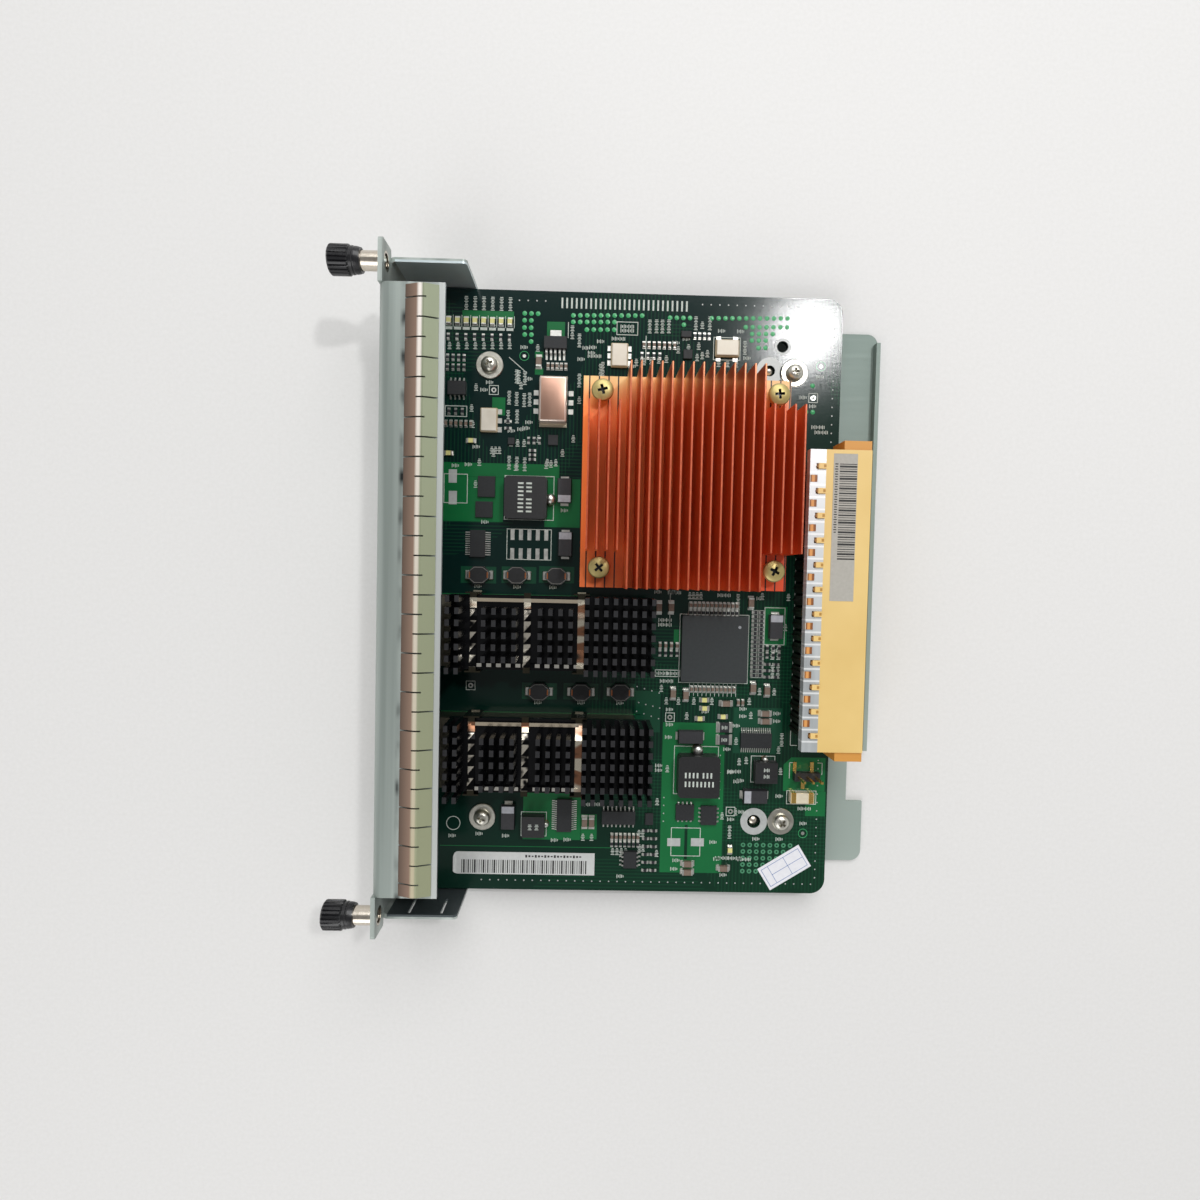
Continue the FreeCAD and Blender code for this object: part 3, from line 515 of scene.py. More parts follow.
LONG_WORDS = row(18.6, 84.4, 2.56, 0, 6, 90) + at(
    90, (49.6, 76.8), (51.7, 74.5), (33.6, 63.6), (72.2, 79.1), (74.2, 79.2), (75.9, 79.2),
    (77.8, 79.3), (85.7, 80.4), (89.8, 80.5), (99.8, -70.2), (37.5, 57.0), (58.1, 65.9), (51.9, 62.9),
    (58.7, 66.5), (100.3, 73.7), (100.4, -0.6), (114.7, -42.0),
) + at(
    0, (122.6, 51.1), (123.6, 49.6), (122.1, -62.7), (104.4, -78.4), (63.1, 75.3), (65.6, 78.9),
    (65.6, 77.7), (78.8, -6.8), (78.8, -8.2), (56.2, 70.1), (81.4, 1.4), (96.2, 0.9), (78.2, -22.7),
    (81.7, -22.7), (79.7, -25.0), (100.7, -51.8), (97.6, -78.1), (101.6, -78.1),
) + rows(
    (31.5, 57.4, 2.2, -0.3, 3, 90), (31.3, 51.8, 2.6, 0.2, 2, 90), (31.8, 38.5, 2.3, -0.2, 3, 90),
    (34.2, 63.4, 1.8, -0.2, 2, 90), (111.1, -16.0, 1.8, 0, 2, 90), (111.3, -21.6, 1.6, 0, 2, 90),
)
SHORT_WORDS = row(13.9, 72.0, 2.5, 0.07, 8, 90) + at(
    90, (39.6, 72.0), (34.9, 61.0), (21.8, 60.2), (20.6, 54.1), (21.0, 49.4), (23.1, 38.4),
    (27.2, 41.2), (33.8, 37.2), (43.0, 38.8), (47.4, 41.7), (22.1, 32.0), (87.6, 79.9), (115.4, 0.7),
    (114.7, -8.3), (80.6, -51.3), (55.8, -72.4), (58.4, -72.4), (78.0, -77.0), (101.4, -64.0),
    (40.3, 45.6), (50.5, 45.9), (45.6, 66.7), (52.0, 57.2), (77.8, -61.3), (107.6, 0.8), (78.2, -27.2),
    (86.0, -35.3), (101.0, -42.6), (113.8, -45.1), (114.6, -51.5), (97.4, -65.3),
) + at(
    0, (25.7, 61.7), (24.1, 59.5), (35.6, 72.1), (37.4, 50.4), (36.6, 48.7), (16.1, 37.3), (25.0, 21.0),
    (48.3, 24.9), (93.3, 78.4), (98.9, 78.4), (55.3, 71.0), (55.7, 72.6), (122.7, 65.8), (117.9, 59.7),
    (120.8, 57.2), (80.9, 1.6), (76.5, 1.5), (106.9, 0.2), (111.8, -15.3), (80.7, -41.8), (80.8, -33.5),
    (80.9, -38.0), (99.6, -52.0), (101.6, -54.8), (103.4, -64.0), (100.0, -66.3), (107.8, -72.1),
    (114.8, -72.1), (121.9, -67.2), (114.4, -59.0), (83.9, -79.0), (83.3, -81.6), (96.2, -78.4),
    (67.2, -84.1), (57.1, -62.5), (60.1, -62.4), (16.8, -72.5), (24.8, -71.8), (23.3, 2.1), (34.8, 2.1),
    (45.4, 2.2), (41.6, -32.1), (54.4, -31.9), (66.0, -31.8), (91.5, -33.9), (22.1, 42.9), (19.9, 37.7),
    (37.1, 63.0), (52.3, 69.1), (57.9, 74.4), (53.7, 72.4), (101.0, 70.7), (67.3, 67.4), (47.3, -73.4),
    (51.1, -73.2), (32.7, -72.3), (100.9, -38.0), (98.3, -45.1), (102.6, -54.5), (94.9, -73.3),
    (98.2, -83.2),
) + rows(
    (26.7, 42.0, 1.1, 0, 3, 90), (32.3, 47.8, 2.8, 0.5, 2), (32.3, 44.3, 1.9, 0, 3, 90),
    (42.7, 38.0, 1.4, 0.4, 3, 90), (80.7, 72.6, 3.0, 0.6, 3, 90), (86.3, 70.5, 1.5, 0.6, 3, 90),
    (68.5, 68.6, 2.2, 0.3, 5, 90), (80.0, 74.6, 3.0, 1.2, 2), (92.7, 69.0, 2.6, 0, 3, 90),
    (64.8, -76.6, 1.3, 0, 4, 90), (72.6, -71.0, 1.1, 0, 2, 90), (72.8, -75.4, 1.1, 0, 2, 90),
    (78.0, -50.4, 0, -1.4, 2), (86.0, 0.6, 1.1, 0, 4, 90), (79.8, -30.9, 3.6, 0, 2, 90),
    (88.0, -30.8, 5.4, 0, 2, 90), (102.8, -32.9, 0, -2.2, 2), (104.6, -30.6, 0.6, -4.2, 2, 90),
    (107.6, -27.6, 4.4, 0, 2, 90), (113.0, -34.1, 0, -2.3, 2), (102.1, -48.8, 2.1, 0.4, 2, 90),
)
FRAMES = (
    (62.5, 80.3, 68.8, 76.4), (12.8, 54.7, 19.3, 51.5), (76.2, -21.6, 83.7, -23.7),
    (31.5, 19.2, 44.7, 10.1), (12.8, 34.9, 19.8, 26.3), (82.2, -69.0, 91.1, -77.7),
    (116.6, -57.2, 125.6, -61.4), (30.6, 34.8, 45.2, 21.8), (82.5, -44.3, 95.9, -58.9),
    (37.2, -64.9, 44.9, -72.3), (105.6, -46.9, 112.9, -55.0),
    (83.2, -4.8, 103.9, -25.4), (91.0, 76.6, 99.0, 69.9), (108.4, -2.4, 114.6, -13.6),
)
MARK_FRAMES = [(x - 1.4, y + 1.4, x + 1.4, y - 1.4) for x, y, turn in TEST_PADS]
LINES = (
    (71.2, 72.4, 8.0, 90), (117.3, -15.3, 56.6, 90), (118.3, -43.6, 2.0, 0), (48.4, 77.4, 4.6, 90),
    (33.9, 66.9, 6.8, -40), (117.3, -51.2, 4.8, 90), (118.0, -48.8, 1.4, 0), (127.1, -50.6, 3.6, 90),
    (126.4, -48.8, 1.4, 0), (80.2, -3.6, 9.6, 90),
)
FAINT_LINES = ((33.0, -0.3, 41.2), (42.6, -35.2, 59.4), (38.8, -75.5, 51.2))


def printed_bar(length, width):
    return paint(block((length, width, PRINT_T), (0, 0, PRINT_T / 2)), white_ink)


CAP_LINES = rows(
    (85.8, -3.3, 1.245, 0, 13, 90), (86.6, -27.4, 1.26, 0, 12, 90), (106.6, -3.4, 0, -1.253, 17),
)
print_pieces = [
    set_out(word(9), LONG_WORDS), set_out(word(5), SHORT_WORDS),
    set_out(printed_bar(0.5, 3.0), row(46.5, 85.2, 1.4, 0, 27)), set_out(printed_bar(3.8, 0.14), CAP_LINES),
    set_out(printed_bar(2.0, 0.8), row(13.6, 77.1, 2.54, 0, 8)),
    set_out(printed_bar(0.16, 3.4), row(12.3, 79.2, 2.54, 0, 9)),
]
for x, y, length in FAINT_LINES:
    print_pieces.append(paint(block((length, PRINT_LINE, POUR_T), (x, y, POUR_T / 2)), pour_mask))
for corners in FRAMES + tuple(MARK_FRAMES):
    print_pieces.append(paint(printed_frame(*corners), white_ink))
for x, y, length, turn in LINES:
    print_pieces.append(set_out(printed_bar(length, PRINT_LINE), [(x, y, turn)]))
for x, y, turn in FIDUCIALS:
    print_pieces.append(paint(ring(x, y, 1.4, 0.14, PRINT_T), via_mask))
print_pieces.append(paint(ring(17.1, -68.7, 2.1, PRINT_LINE, PRINT_T), white_ink))
seat(join(print_pieces), "board_print")

# Board screws
# Pan-head machine screws of bright zinc-plated steel with a captive washer. They go through the
# board's corner holes into the standoffs.
WASHER_R = 3.95
HEAD_R = 2.5
HEAD_TOP = 2.7
SHANK_R = 1.25
SHANK_END = -7.2
RECESS = (0.9, 3.1, 1.4)
SCREW_X = (25.7, 115.0)
SCREW_Y = 66.6
SCREW_TURNS = (25, 70, 10, 52)

bright_steel = plain_finish(
    "bright_steel", 500, (176, 172, 160), (220, 218, 208),
    rough=0.24, spread=0.14, metal=1, relief=0.00002)


def cross_recess(head, top, size):
    """Cuts a cross recess, narrower at its bottom, into the head of a screw."""
    width, length, depth = size
    arms = [block((a, b, 2 * depth), (0, 0, top)) for a, b in ((width, length), (length, width))]
    for arm in arms:
        pick(arm, lambda corner: corner.z < top)
        bpy.ops.transform.resize(value=(0.5, 0.5, 1), center_override=(0, 0, top - depth))
        leave_edit()
    for arm in arms:
        cut = head.modifiers.new("recess", "BOOLEAN")
        cut.object = arm
        bpy.context.view_layer.objects.active = head
        bpy.ops.object.modifier_apply(modifier=cut.name)
        bpy.data.objects.remove(arm)
    return head


def smooth(piece, angle=35):
    only(piece)
    bpy.ops.object.shade_smooth_by_angle(angle=math.radians(angle))
    return piece


screw = lathe((
    (0, SHANK_END), (SHANK_R, SHANK_END), (SHANK_R, 0), (WASHER_R, 0), (WASHER_R, 0.45),
    (WASHER_R - 0.15, 0.6), (HEAD_R, 0.6), (HEAD_R, 1.2), (HEAD_R - 0.2, 1.8), (HEAD_R - 0.6, 2.3),
    (HEAD_R - 1.3, HEAD_TOP - 0.08), (0, HEAD_TOP),
), 32)
paint(smooth(cross_recess(screw, HEAD_TOP, RECESS)), bright_steel)
screw_corners = [(x, y) for x in SCREW_X for y in (SCREW_Y, -SCREW_Y)]
screws = set_out(screw, [(x, y, turn) for (x, y), turn in zip(screw_corners, SCREW_TURNS)])
seat(screws, "board_screws_detailed")
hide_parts("board_screws")

# Front panel
# One steel sheet, zinc plated, folded back along the top into a flange and at the sides into
# wings. Its flange is worn bright along the rear edge. Where the contact strip starts it carries
# adhesive grime and a painted shade of the gap under the strip's edge, and the inner faces of the
# wings carry painted light and shade.
STRIP_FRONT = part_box("finger_strip")[0].x
STRIP_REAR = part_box("finger_strip")[1].x
FLANGE_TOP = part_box("front_panel")[1].z
SLIT_PITCH = 5.08 * MM

zinc = Finish("zinc_sheet")
brushing = zinc.grain(420, (1, 0.03, 1))
across = zinc.place("X")
length = zinc.place("Y")
# Along the strip's front edge, darker at the slit ends, the flange is painted with adhesive grime and a
# painted shade of the gap under the strip.
spots = zinc.band((length + SLIT_PITCH) % (2 * SLIT_PITCH), SLIT_PITCH, 0.6 * MM, 2.0 * MM)
smear = zinc.ramp(zinc.grain(150, (1, 0.3, 1)), 0.36, 0.56)
adhesive_and_painted_gap_shade = zinc.band(across, STRIP_FRONT - 0.3 * MM, 0.35 * MM, 0.8 * MM) * smear * (0.35 + spots * 0.65)
above = zinc.place("Z") > FLANGE_TOP - 0.4 * MM
rear_edge = (across > STRIP_REAR) * above
streaks = zinc.grain(170, (1, 0.02, 1))
sheet = zinc.mix(zinc.ramp(streaks, 0.3, 0.7), ink(136, 145, 140), ink(184, 192, 187))
# The inner faces of the wings are painted: pale on the upper wing as painted light, dark on the lower wing
# as painted shade.
lower_side = length < 0
wing_painted_light_and_shade = zinc.mix(lower_side, ink(190, 202, 205), ink(74, 82, 84))
inside = (across > PANEL_FACE + 2 * MM) * (1 - above) * (abs(length) < 89.6 * MM)
folded = zinc.mix(inside, sheet, wing_painted_light_and_shade)
worn = zinc.mix(rear_edge, folded, ink(186, 190, 187))
zinc.set({
    "Base Color": zinc.mix(adhesive_and_painted_gap_shade * above, worn, ink(26, 31, 30)),
    "Metallic": 0.45,
    "Roughness": 0.3 + brushing * 0.2,
    "Normal": zinc.bump(brushing, 0.00001),
})
dress(zinc, "front_panel")

# Contact finger strip
# A thin arched strip of tinned spring bronze, slit into fingers from alternate sides and held on
# the flange by its adhesive. Its colours are painted light: a painted highlight along the ridge,
# a brown painted reflection on its front slope and an olive one on its rear facet.
RIDGE_FRONT = STRIP_FRONT + 3.7 * MM

bronze = Finish("spring_sheet")
slope = bronze.place("X")
drawn = bronze.grain(260, (1, 0.02, 1))
# The front slope is painted brown as a painted reflection, paler towards the ridge.
painted_brown_reflection = bronze.mix(bronze.ramp(slope, STRIP_FRONT, RIDGE_FRONT), ink(92, 75, 64), ink(146, 120, 103))
toward_top = bronze.ramp(bronze.place("Y"), -0.07, 0.07)
# The rear facet is painted olive as a painted reflection, darker towards +Y.
tinned = bronze.mix(toward_top, ink(150, 154, 124), ink(132, 139, 114))
# The ridge carries a painted highlight, whiter towards +Y.
painted_ridge_highlight = bronze.mix(toward_top, ink(186, 176, 148), ink(230, 222, 214))
over_ridge = bronze.mix(bronze.ramp(slope, RIDGE_FRONT - 0.6 * MM, RIDGE_FRONT), painted_brown_reflection, painted_ridge_highlight)
past_ridge = bronze.ramp(slope, RIDGE_FRONT + 0.6 * MM, RIDGE_FRONT + 1.1 * MM)
bronze.set({
    "Base Color": bronze.mix(past_ridge, over_ridge, tinned),
    "Metallic": 0.25,
    "Roughness": 0.36 + drawn * 0.16,
    "Normal": bronze.bump(drawn, 0.00001),
})
dress(bronze, "finger_strip")

# Captive thumbscrews
# A nickel-plated sleeve is pressed into each ear of the panel. The black fluted knob on the screw
# slides over it and turns, and a coil spring inside the knob holds it out.
THUMB_Y = 87.0
THUMB_Z = 21.4
KNOB_FRONT = -13.5
KNOB_REAR = -5.2
KNOB_R = 3.95
GRIP_END = -8.1
CUP_FLOOR = -12.2
CUP_R = 2.65
SCREW_R = 1.5
FLUTES = 22
FLUTE_SHARE = 0.9
SPRING_END = -7.0
SPRING_R = 2.025
SPRING_WIRE = 0.5
SPRING_TURNS = 3

knob_black = plain_finish(
    "knob_black", 900, (14, 14, 17), (28, 28, 31),
    rough=0.22, spread=0.12, relief=0.00001)
dress(nickel, "upper_sleeve", "lower_sleeve", "upper_screw", "lower_screw")


def coil(radius, wire, length, turns):
    """A coil spring standing on the bench: the wire's round section driven along a screw line."""
    bpy.ops.mesh.primitive_circle_add(
        vertices=8, radius=wire / 2, location=(radius, 0, wire / 2), rotation=(math.pi / 2, 0, 0))
    bpy.ops.object.transform_apply()
    spring = bpy.context.object
    drive = spring.modifiers.new("drive", "SCREW")
    drive.angle = 2 * math.pi * turns
    drive.screw_offset = length - wire
    drive.steps = 16 * turns
    drive.render_steps = drive.steps
    bpy.ops.object.modifier_apply(modifier=drive.name)
    edit_all()
    bpy.ops.mesh.fill_holes(sides=0)
    bpy.ops.mesh.normals_make_consistent(inside=False)
    leave_edit()
    return smooth(spring, 60)


def fluted_knob():
    """The knob on its side, turned in one go and then fluted along the grip."""
    knob = lathe((
        (SCREW_R, KNOB_FRONT + 0.3), (2.6, KNOB_FRONT + 0.3), (2.9, KNOB_FRONT), (KNOB_R - 0.5, KNOB_FRONT),
        (KNOB_R, KNOB_FRONT + 0.45), (KNOB_R, GRIP_END - 0.3), (KNOB_R - 0.35, GRIP_END), (3.45, GRIP_END),
        (3.45, GRIP_END + 0.3), (3.6, GRIP_END + 0.35), (3.6, GRIP_END + 0.9), (3.4, GRIP_END + 1.1),
        (3.4, GRIP_END + 1.4), (3.5, GRIP_END + 1.5), (3.4, GRIP_END + 2.2), (3.2, KNOB_REAR),
        (CUP_R, KNOB_REAR), (CUP_R, CUP_FLOOR), (SCREW_R, CUP_FLOOR),
    ), 4 * FLUTES)
    step = 2 * math.pi / (4 * FLUTES)

    def in_flute(corner):
        on_grip = KNOB_R - 0.45 < corner.xy.length and corner.z < GRIP_END - 0.1
        return on_grip and round(math.atan2(corner.y, corner.x) / step) % 4 == 2

    pick(knob, in_flute)
    bpy.ops.transform.resize(value=(FLUTE_SHARE, FLUTE_SHARE, 1), center_override=(0, 0, 0))
    leave_edit()
    return paint(smooth(knob, 30), knob_black)


for word_side, side in (("upper", 1), ("lower", -1)):
    on_axis = Matrix.Translation((0, side * THUMB_Y, THUMB_Z)) @ Matrix.Rotation(math.pi / 2, 4, "Y")
    knob = fluted_knob()
    knob.data.transform(on_axis)
    seat(knob, word_side + "_knob_fluted", word_side + "_thumbscrew")
    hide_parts(word_side + "_knob")

    spring = paint(coil(SPRING_R, SPRING_WIRE, SPRING_END - CUP_FLOOR, SPRING_TURNS), bright_steel)
    spring.data.transform(on_axis @ Matrix.Translation((0, 0, CUP_FLOOR)))
    seat(spring, word_side + "_spring_coil")
    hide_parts(word_side + "_spring")
    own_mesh(spring)

# Module cages
# Sheet-metal boxes of tinned steel soldered to the board, open at the front, with a black moulded
# edge socket at the back of each.
cage_steel = plain_finish(
    "cage_steel", 90, (150, 142, 120), (196, 190, 172),
    rough=0.24, spread=0.2, metal=1, stretch=(0.2, 1, 1))
socket_black = plain_finish("socket_black", 800, (20, 20, 21), (34, 34, 35), rough=0.45, spread=0.15)
dress(cage_steel, "upper_cage", "lower_cage")
dress(socket_black, "upper_socket", "lower_socket")

# Riding heat sinks and their clips
# Extruded aluminium, cross-cut into pins and anodised black, with paler tips where the saw has
# rubbed. A nickel-plated spring-steel clip hooks round the cage and presses each sink down.
PIN_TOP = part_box("upper_cage_sink")[1].z

anodised = Finish("black_anodised")
tip = anodised.place("Z") > PIN_TOP - 0.1 * MM
rubbed = anodised.mix(anodised.grain(1200), ink(26, 26, 28), ink(40, 40, 42))
shaft = anodised.mix(anodised.grain(300, (1, 1, 0.1)), ink(8, 8, 10), ink(14, 14, 17))
anodised.set({
    "Base Color": anodised.mix(tip, shaft, rubbed),
    "Roughness": 0.2 + tip * 0.35,
    "Specular IOR Level": 0.25,
})
dress(anodised, "upper_cage_sink", "lower_cage_sink")

PIN_STEP = 2.7 * MM
PIN_ROW = 3.2 * MM
BAND_STEP = 15 * MM
FIRST_BAND = PANEL_FACE + 24 * MM
RAIL_OUT = 9.1 * MM


def clip_finish(name, middle):
    """Mirror-bright strip painted with reflections: dark and bright blotches, and teeth of the pins on the
    first two bands; its lower rail is painted dark with painted glints between the pins.
    """
    finish = Finish(name)
    x = finish.place("X")
    side = finish.place("Y") - middle
    # The dark and bright blotches are painted reflections in the mirror-bright strip.
    blocks = finish.grain(210, (0.3, 1, 0.3), 1)
    dark = finish.mix(finish.ramp(blocks, 0.36, 0.42), ink(66, 62, 54), ink(168, 120, 92))
    bright = finish.mix(finish.ramp(blocks, 0.48, 0.54), dark, ink(250, 240, 218))
    on_strip = (x - FIRST_BAND + BAND_STEP * 0.5) % BAND_STEP - BAND_STEP * 0.5
    first_band = x < FIRST_BAND + BAND_STEP * 0.5
    # On the first two bands, teeth at the pin rows are painted reflections of the pins: dark with bright
    # glints.
    tooth = (side * (1 / PIN_ROW)) % 1 * 2.6 * MM - on_strip > 1.1 * MM + first_band * 0.7 * MM
    glint = tooth * finish.ramp(finish.grain(420, (1, 1, 1), 1), 0.36, 0.52)
    painted_pin_reflection = finish.mix(glint, ink(24, 24, 25), ink(246, 238, 222))
    before_pins = (x < FIRST_BAND + BAND_STEP * 1.5) * (side < 6.8 * MM)
    patched = finish.mix(before_pins, bright, painted_pin_reflection)
    off_band = abs(on_strip) > 1.1 * MM
    upper_rail = finish.band(side, RAIL_OUT, 0.6 * MM, 0.1 * MM) * off_band
    lower_rail = finish.band(side, -RAIL_OUT, 0.6 * MM, 0.1 * MM) * off_band
    # The lower rail is painted dark, with painted glints at the pin pitch where it shows between the pins.
    painted_rail_glints = finish.mix((x * (1 / PIN_STEP)) % 1 > 0.5, ink(26, 26, 27), ink(236, 232, 222))
    railed = finish.mix(lower_rail, finish.mix(upper_rail, patched, ink(244, 228, 202)), painted_rail_glints)
    legs = finish.math("MAXIMUM", finish.place("Z") < CLIP_TOP - 2.4 * MM, abs(side) > RAIL_OUT + 0.55 * MM)
    return finish.set({
        "Base Color": finish.mix(legs, railed, ink(70, 66, 54)),
        "Metallic": 0.9,
        "Roughness": 0.08 + blocks * 0.15,
    })


CLIP_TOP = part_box("upper_clip")[1].z
dress(clip_finish("upper_clip_steel", -10.5 * MM), "upper_clip")
dress(clip_finish("lower_clip_steel", -45.2 * MM), "lower_clip")

# Copper heat sink
# A copper base with thin copper fins soldered on edge, short at the corners where four spring
# screws of yellow-passivated steel hold it down on posts over the main chip.
SINK_LOW, SINK_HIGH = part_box("copper_heat_sink")
FIN_TOP = SINK_HIGH.z
SINK_FLOOR = FIN_TOP - 16.8 * MM
SINK_REAR_SIDE = SINK_HIGH.y
FIN_COUNT = 22
FIRST_FIN = SINK_LOW.x + 1.7 * MM
FIN_STEP = (SINK_HIGH.x - 0.3 * MM - FIRST_FIN) / (FIN_COUNT - 1)
SCREW_CENTRE = (83.4, 33.0)
SINK_SCREW_HALF = 24.75
SINK_BASE_TOP = 6.9
SINK_SPRING_L = 3.2
SINK_SPRING_R = 2.2
SINK_HEAD_R = 3.1
SINK_HEAD_TOP = 11.9
SINK_SHANK_R = 1.3
SINK_RECESS = (1.05, 3.8, 1.3)
SINK_TURNS = (40, 15, 62, 5)

copper = Finish("copper")
streak = copper.grain(160, (1, 1, 0.15))
painted_edge_sparkle = copper.grain(900, (1, 1, 1), 1)
up = copper.place("Z")
along = copper.place("Y")
off_fin = abs((copper.place("X") - FIRST_FIN + FIN_STEP * 0.5) % FIN_STEP - FIN_STEP * 0.5)
fin_edge = (up > FIN_TOP - 0.12 * MM) * (off_fin < 0.14 * MM)
open_slot = copper.band(up, SINK_FLOOR, 0.2 * MM, 0.1 * MM) * (off_fin < 0.2 * MM)
# Towards the rear side, the fins, the floor and the fin tops carry a painted highlight, cream near the
# floor.
bright_end = copper.ramp(along, SINK_REAR_SIDE - 9 * MM, SINK_REAR_SIDE - 1 * MM)
# The gaps are painted light: lighter towards the panel and +Y side, deeper red towards the rear and -Y
# side, and lighter low on the fins than near their tops.
away = copper.ramp(copper.place("X") - along, -0.06, 0.06)
painted_light_low_on_fins = copper.mix(away, ink(255, 138, 62), ink(214, 58, 26))
painted_light_high_on_fins = copper.mix(away, ink(206, 76, 34), ink(156, 42, 20))
painted_light_in_gaps = copper.mix(copper.ramp(up, FIN_TOP - 8 * MM, FIN_TOP), painted_light_low_on_fins, painted_light_high_on_fins)
on_fin = copper.ramp(up, SINK_FLOOR + 2 * MM, SINK_FLOOR + 9 * MM)
painted_highlight_at_rear_end = copper.mix(on_fin, ink(255, 214, 146), ink(150, 74, 42))
fin_colour_with_painted_light = copper.mix(bright_end * (0.4 + streak * 0.7), painted_light_in_gaps, painted_highlight_at_rear_end)
# The fin tops are speckled with painted sparkle.
edge_low = copper.mix(painted_edge_sparkle, ink(128, 52, 28), ink(206, 112, 72))
edge = copper.mix(bright_end * 0.7, edge_low, ink(226, 160, 112))
copper.set({
    "Base Color": copper.mix(open_slot, copper.mix(fin_edge, fin_colour_with_painted_light, edge), ink(44, 18, 10)),
    "Metallic": fin_edge * 0.5,
    "Roughness": 0.3 + streak * 0.16,
    "Normal": copper.bump(streak, 0.00004),
})
dress(copper, "copper_heat_sink")

yellow_zinc = plain_finish(
    "yellow_zinc", 220, (168, 150, 92), (202, 188, 128),
    rough=0.32, spread=0.14, metal=0.6)
pad_grey = plain_finish("pad_grey", 600, (132, 136, 140), (158, 162, 166), rough=0.8)
chip_black = plain_finish(
    "chip_black", 1600, (24, 25, 27), (42, 44, 46),
    rough=0.46, spread=0.16, gloss=0.35, relief=0.000012)
dress(nickel, "heat_sink_posts")
dress(pad_grey, "thermal_pad")
dress(chip_black, "main_chip")

sink_screw = lathe((
    (0, 0), (SINK_SHANK_R, 0), (SINK_SHANK_R, 10.1), (SINK_HEAD_R - 0.1, 10.1), (SINK_HEAD_R, 10.25),
    (SINK_HEAD_R, 10.9), (SINK_HEAD_R - 0.25, 11.4), (SINK_HEAD_R - 0.9, 11.75), (0, SINK_HEAD_TOP),
), 32)
smooth(cross_recess(sink_screw, SINK_HEAD_TOP, SINK_RECESS))


def in_recess_painted_shade(middle):
    return 10.3 < middle.z < 11.65 and middle.xy.length < 2.1


# The faces inside each cross recess are painted black as painted shade.
paint(sink_screw, yellow_zinc, knob_black, in_recess_painted_shade)
sink_corners = [
    (SCREW_CENTRE[0] + i * SINK_SCREW_HALF, SCREW_CENTRE[1] + j * SINK_SCREW_HALF)
    for i in (-1, 1) for j in (-1, 1)
]
sink_screws = set_out(sink_screw, [(x, y, turn) for (x, y), turn in zip(sink_corners, SINK_TURNS)])
seat(sink_screws, "heat_sink_screws_detailed")
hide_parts("heat_sink_screws")

sink_spring = paint(coil(SINK_SPRING_R, 0.5, SINK_SPRING_L, 2), bright_steel)
sink_spring.data.transform(Matrix.Translation((0, 0, SINK_BASE_TOP)))
sink_springs = set_out(sink_spring, [(x, y, 0) for x, y in sink_corners])
seat(sink_springs, "heat_sink_spring_coils")
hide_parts("heat_sink_springs")

# Backplane connector
# A tan moulded housing over the board's rear edge, with amber wafers of copper contacts behind it.
# A punched steel stiffener over the wafers is held by their pegs, and a paper label is stuck on top.
HOUSE_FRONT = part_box("connector_housing")[0].x
PEG_STEP = 6.86 * MM
HOUSE_END = 42.4 * MM
CONN_TOP = 13.5
LABEL_T = 0.08
CODE_BARS = (0.5, 1.2, 0.4, 0.9, 0.4, 0.6, 1.3, 0.4, 0.5)
CODE_STEP = 0.675

tan = Finish("housing_tan")
flow = tan.grain(55)
fibre = tan.grain(1500, (1, 0.3, 1))
guide = abs(tan.place("Y")) > HOUSE_END + 0.1 * MM
tan.set({
    "Base Color": tan.mix(guide, tan.mix(flow, ink(212, 178, 106), ink(232, 202, 134)), ink(204, 144, 66)),
    "Roughness": 0.38 + fibre * 0.14,
    "Normal": tan.bump(fibre, 0.00001),
})
amber = Finish("wafer_amber")
peg_x = amber.place("X")
peg_turn = (amber.place("Y") * (1 / PEG_STEP)) % 1
tan_peg = amber.band(peg_turn, 0.5, 0.2, 0.02)
peg_grain = amber.grain(300)
# The front ends of the tan pegs, away from the housing, are painted dark brown as painted shadow.
peg_painted_shadow = amber.mix(peg_x < HOUSE_FRONT - 2.2 * MM, ink(228, 194, 124), ink(150, 106, 50))
eye_line = amber.band(peg_x, HOUSE_FRONT - 0.5 * MM, 0.3 * MM, 0.1 * MM)
peg_eye = eye_line * amber.band(peg_turn, 0.5, 0.05, 0.02)
peg_tan = amber.mix(peg_eye, peg_painted_shadow, ink(176, 130, 60))
# A band across the amber pegs is painted bright on dark amber as a painted highlight.
peg_painted_highlight = amber.band(peg_x, HOUSE_FRONT - 3.5 * MM, 0.3 * MM, 0.25 * MM)
peg_amber = amber.mix(peg_painted_highlight * 0.8 + peg_grain * 0.2, ink(122, 68, 30), ink(222, 158, 90))
peg_edge = amber.mix(peg_x < HOUSE_FRONT - 4.3 * MM, peg_amber, ink(196, 190, 178))
deep = amber.place("Z")
# Below the pegs the wafers are painted near-black as painted shade, with a row of contact dots.
dot_line = amber.band(deep, BOARD_TOP + 8.4 * MM, 0.4 * MM, 0.3 * MM)
contact_dot = dot_line * amber.band(peg_turn, 0.5, 0.07, 0.03)
wafer = amber.mix(contact_dot, ink(20, 15, 12), ink(168, 106, 62))
amber.set({
    "Base Color": amber.mix(deep < BOARD_TOP + 11.2 * MM, amber.mix(tan_peg, peg_edge, peg_tan), wafer),
    "Roughness": 0.36,
})
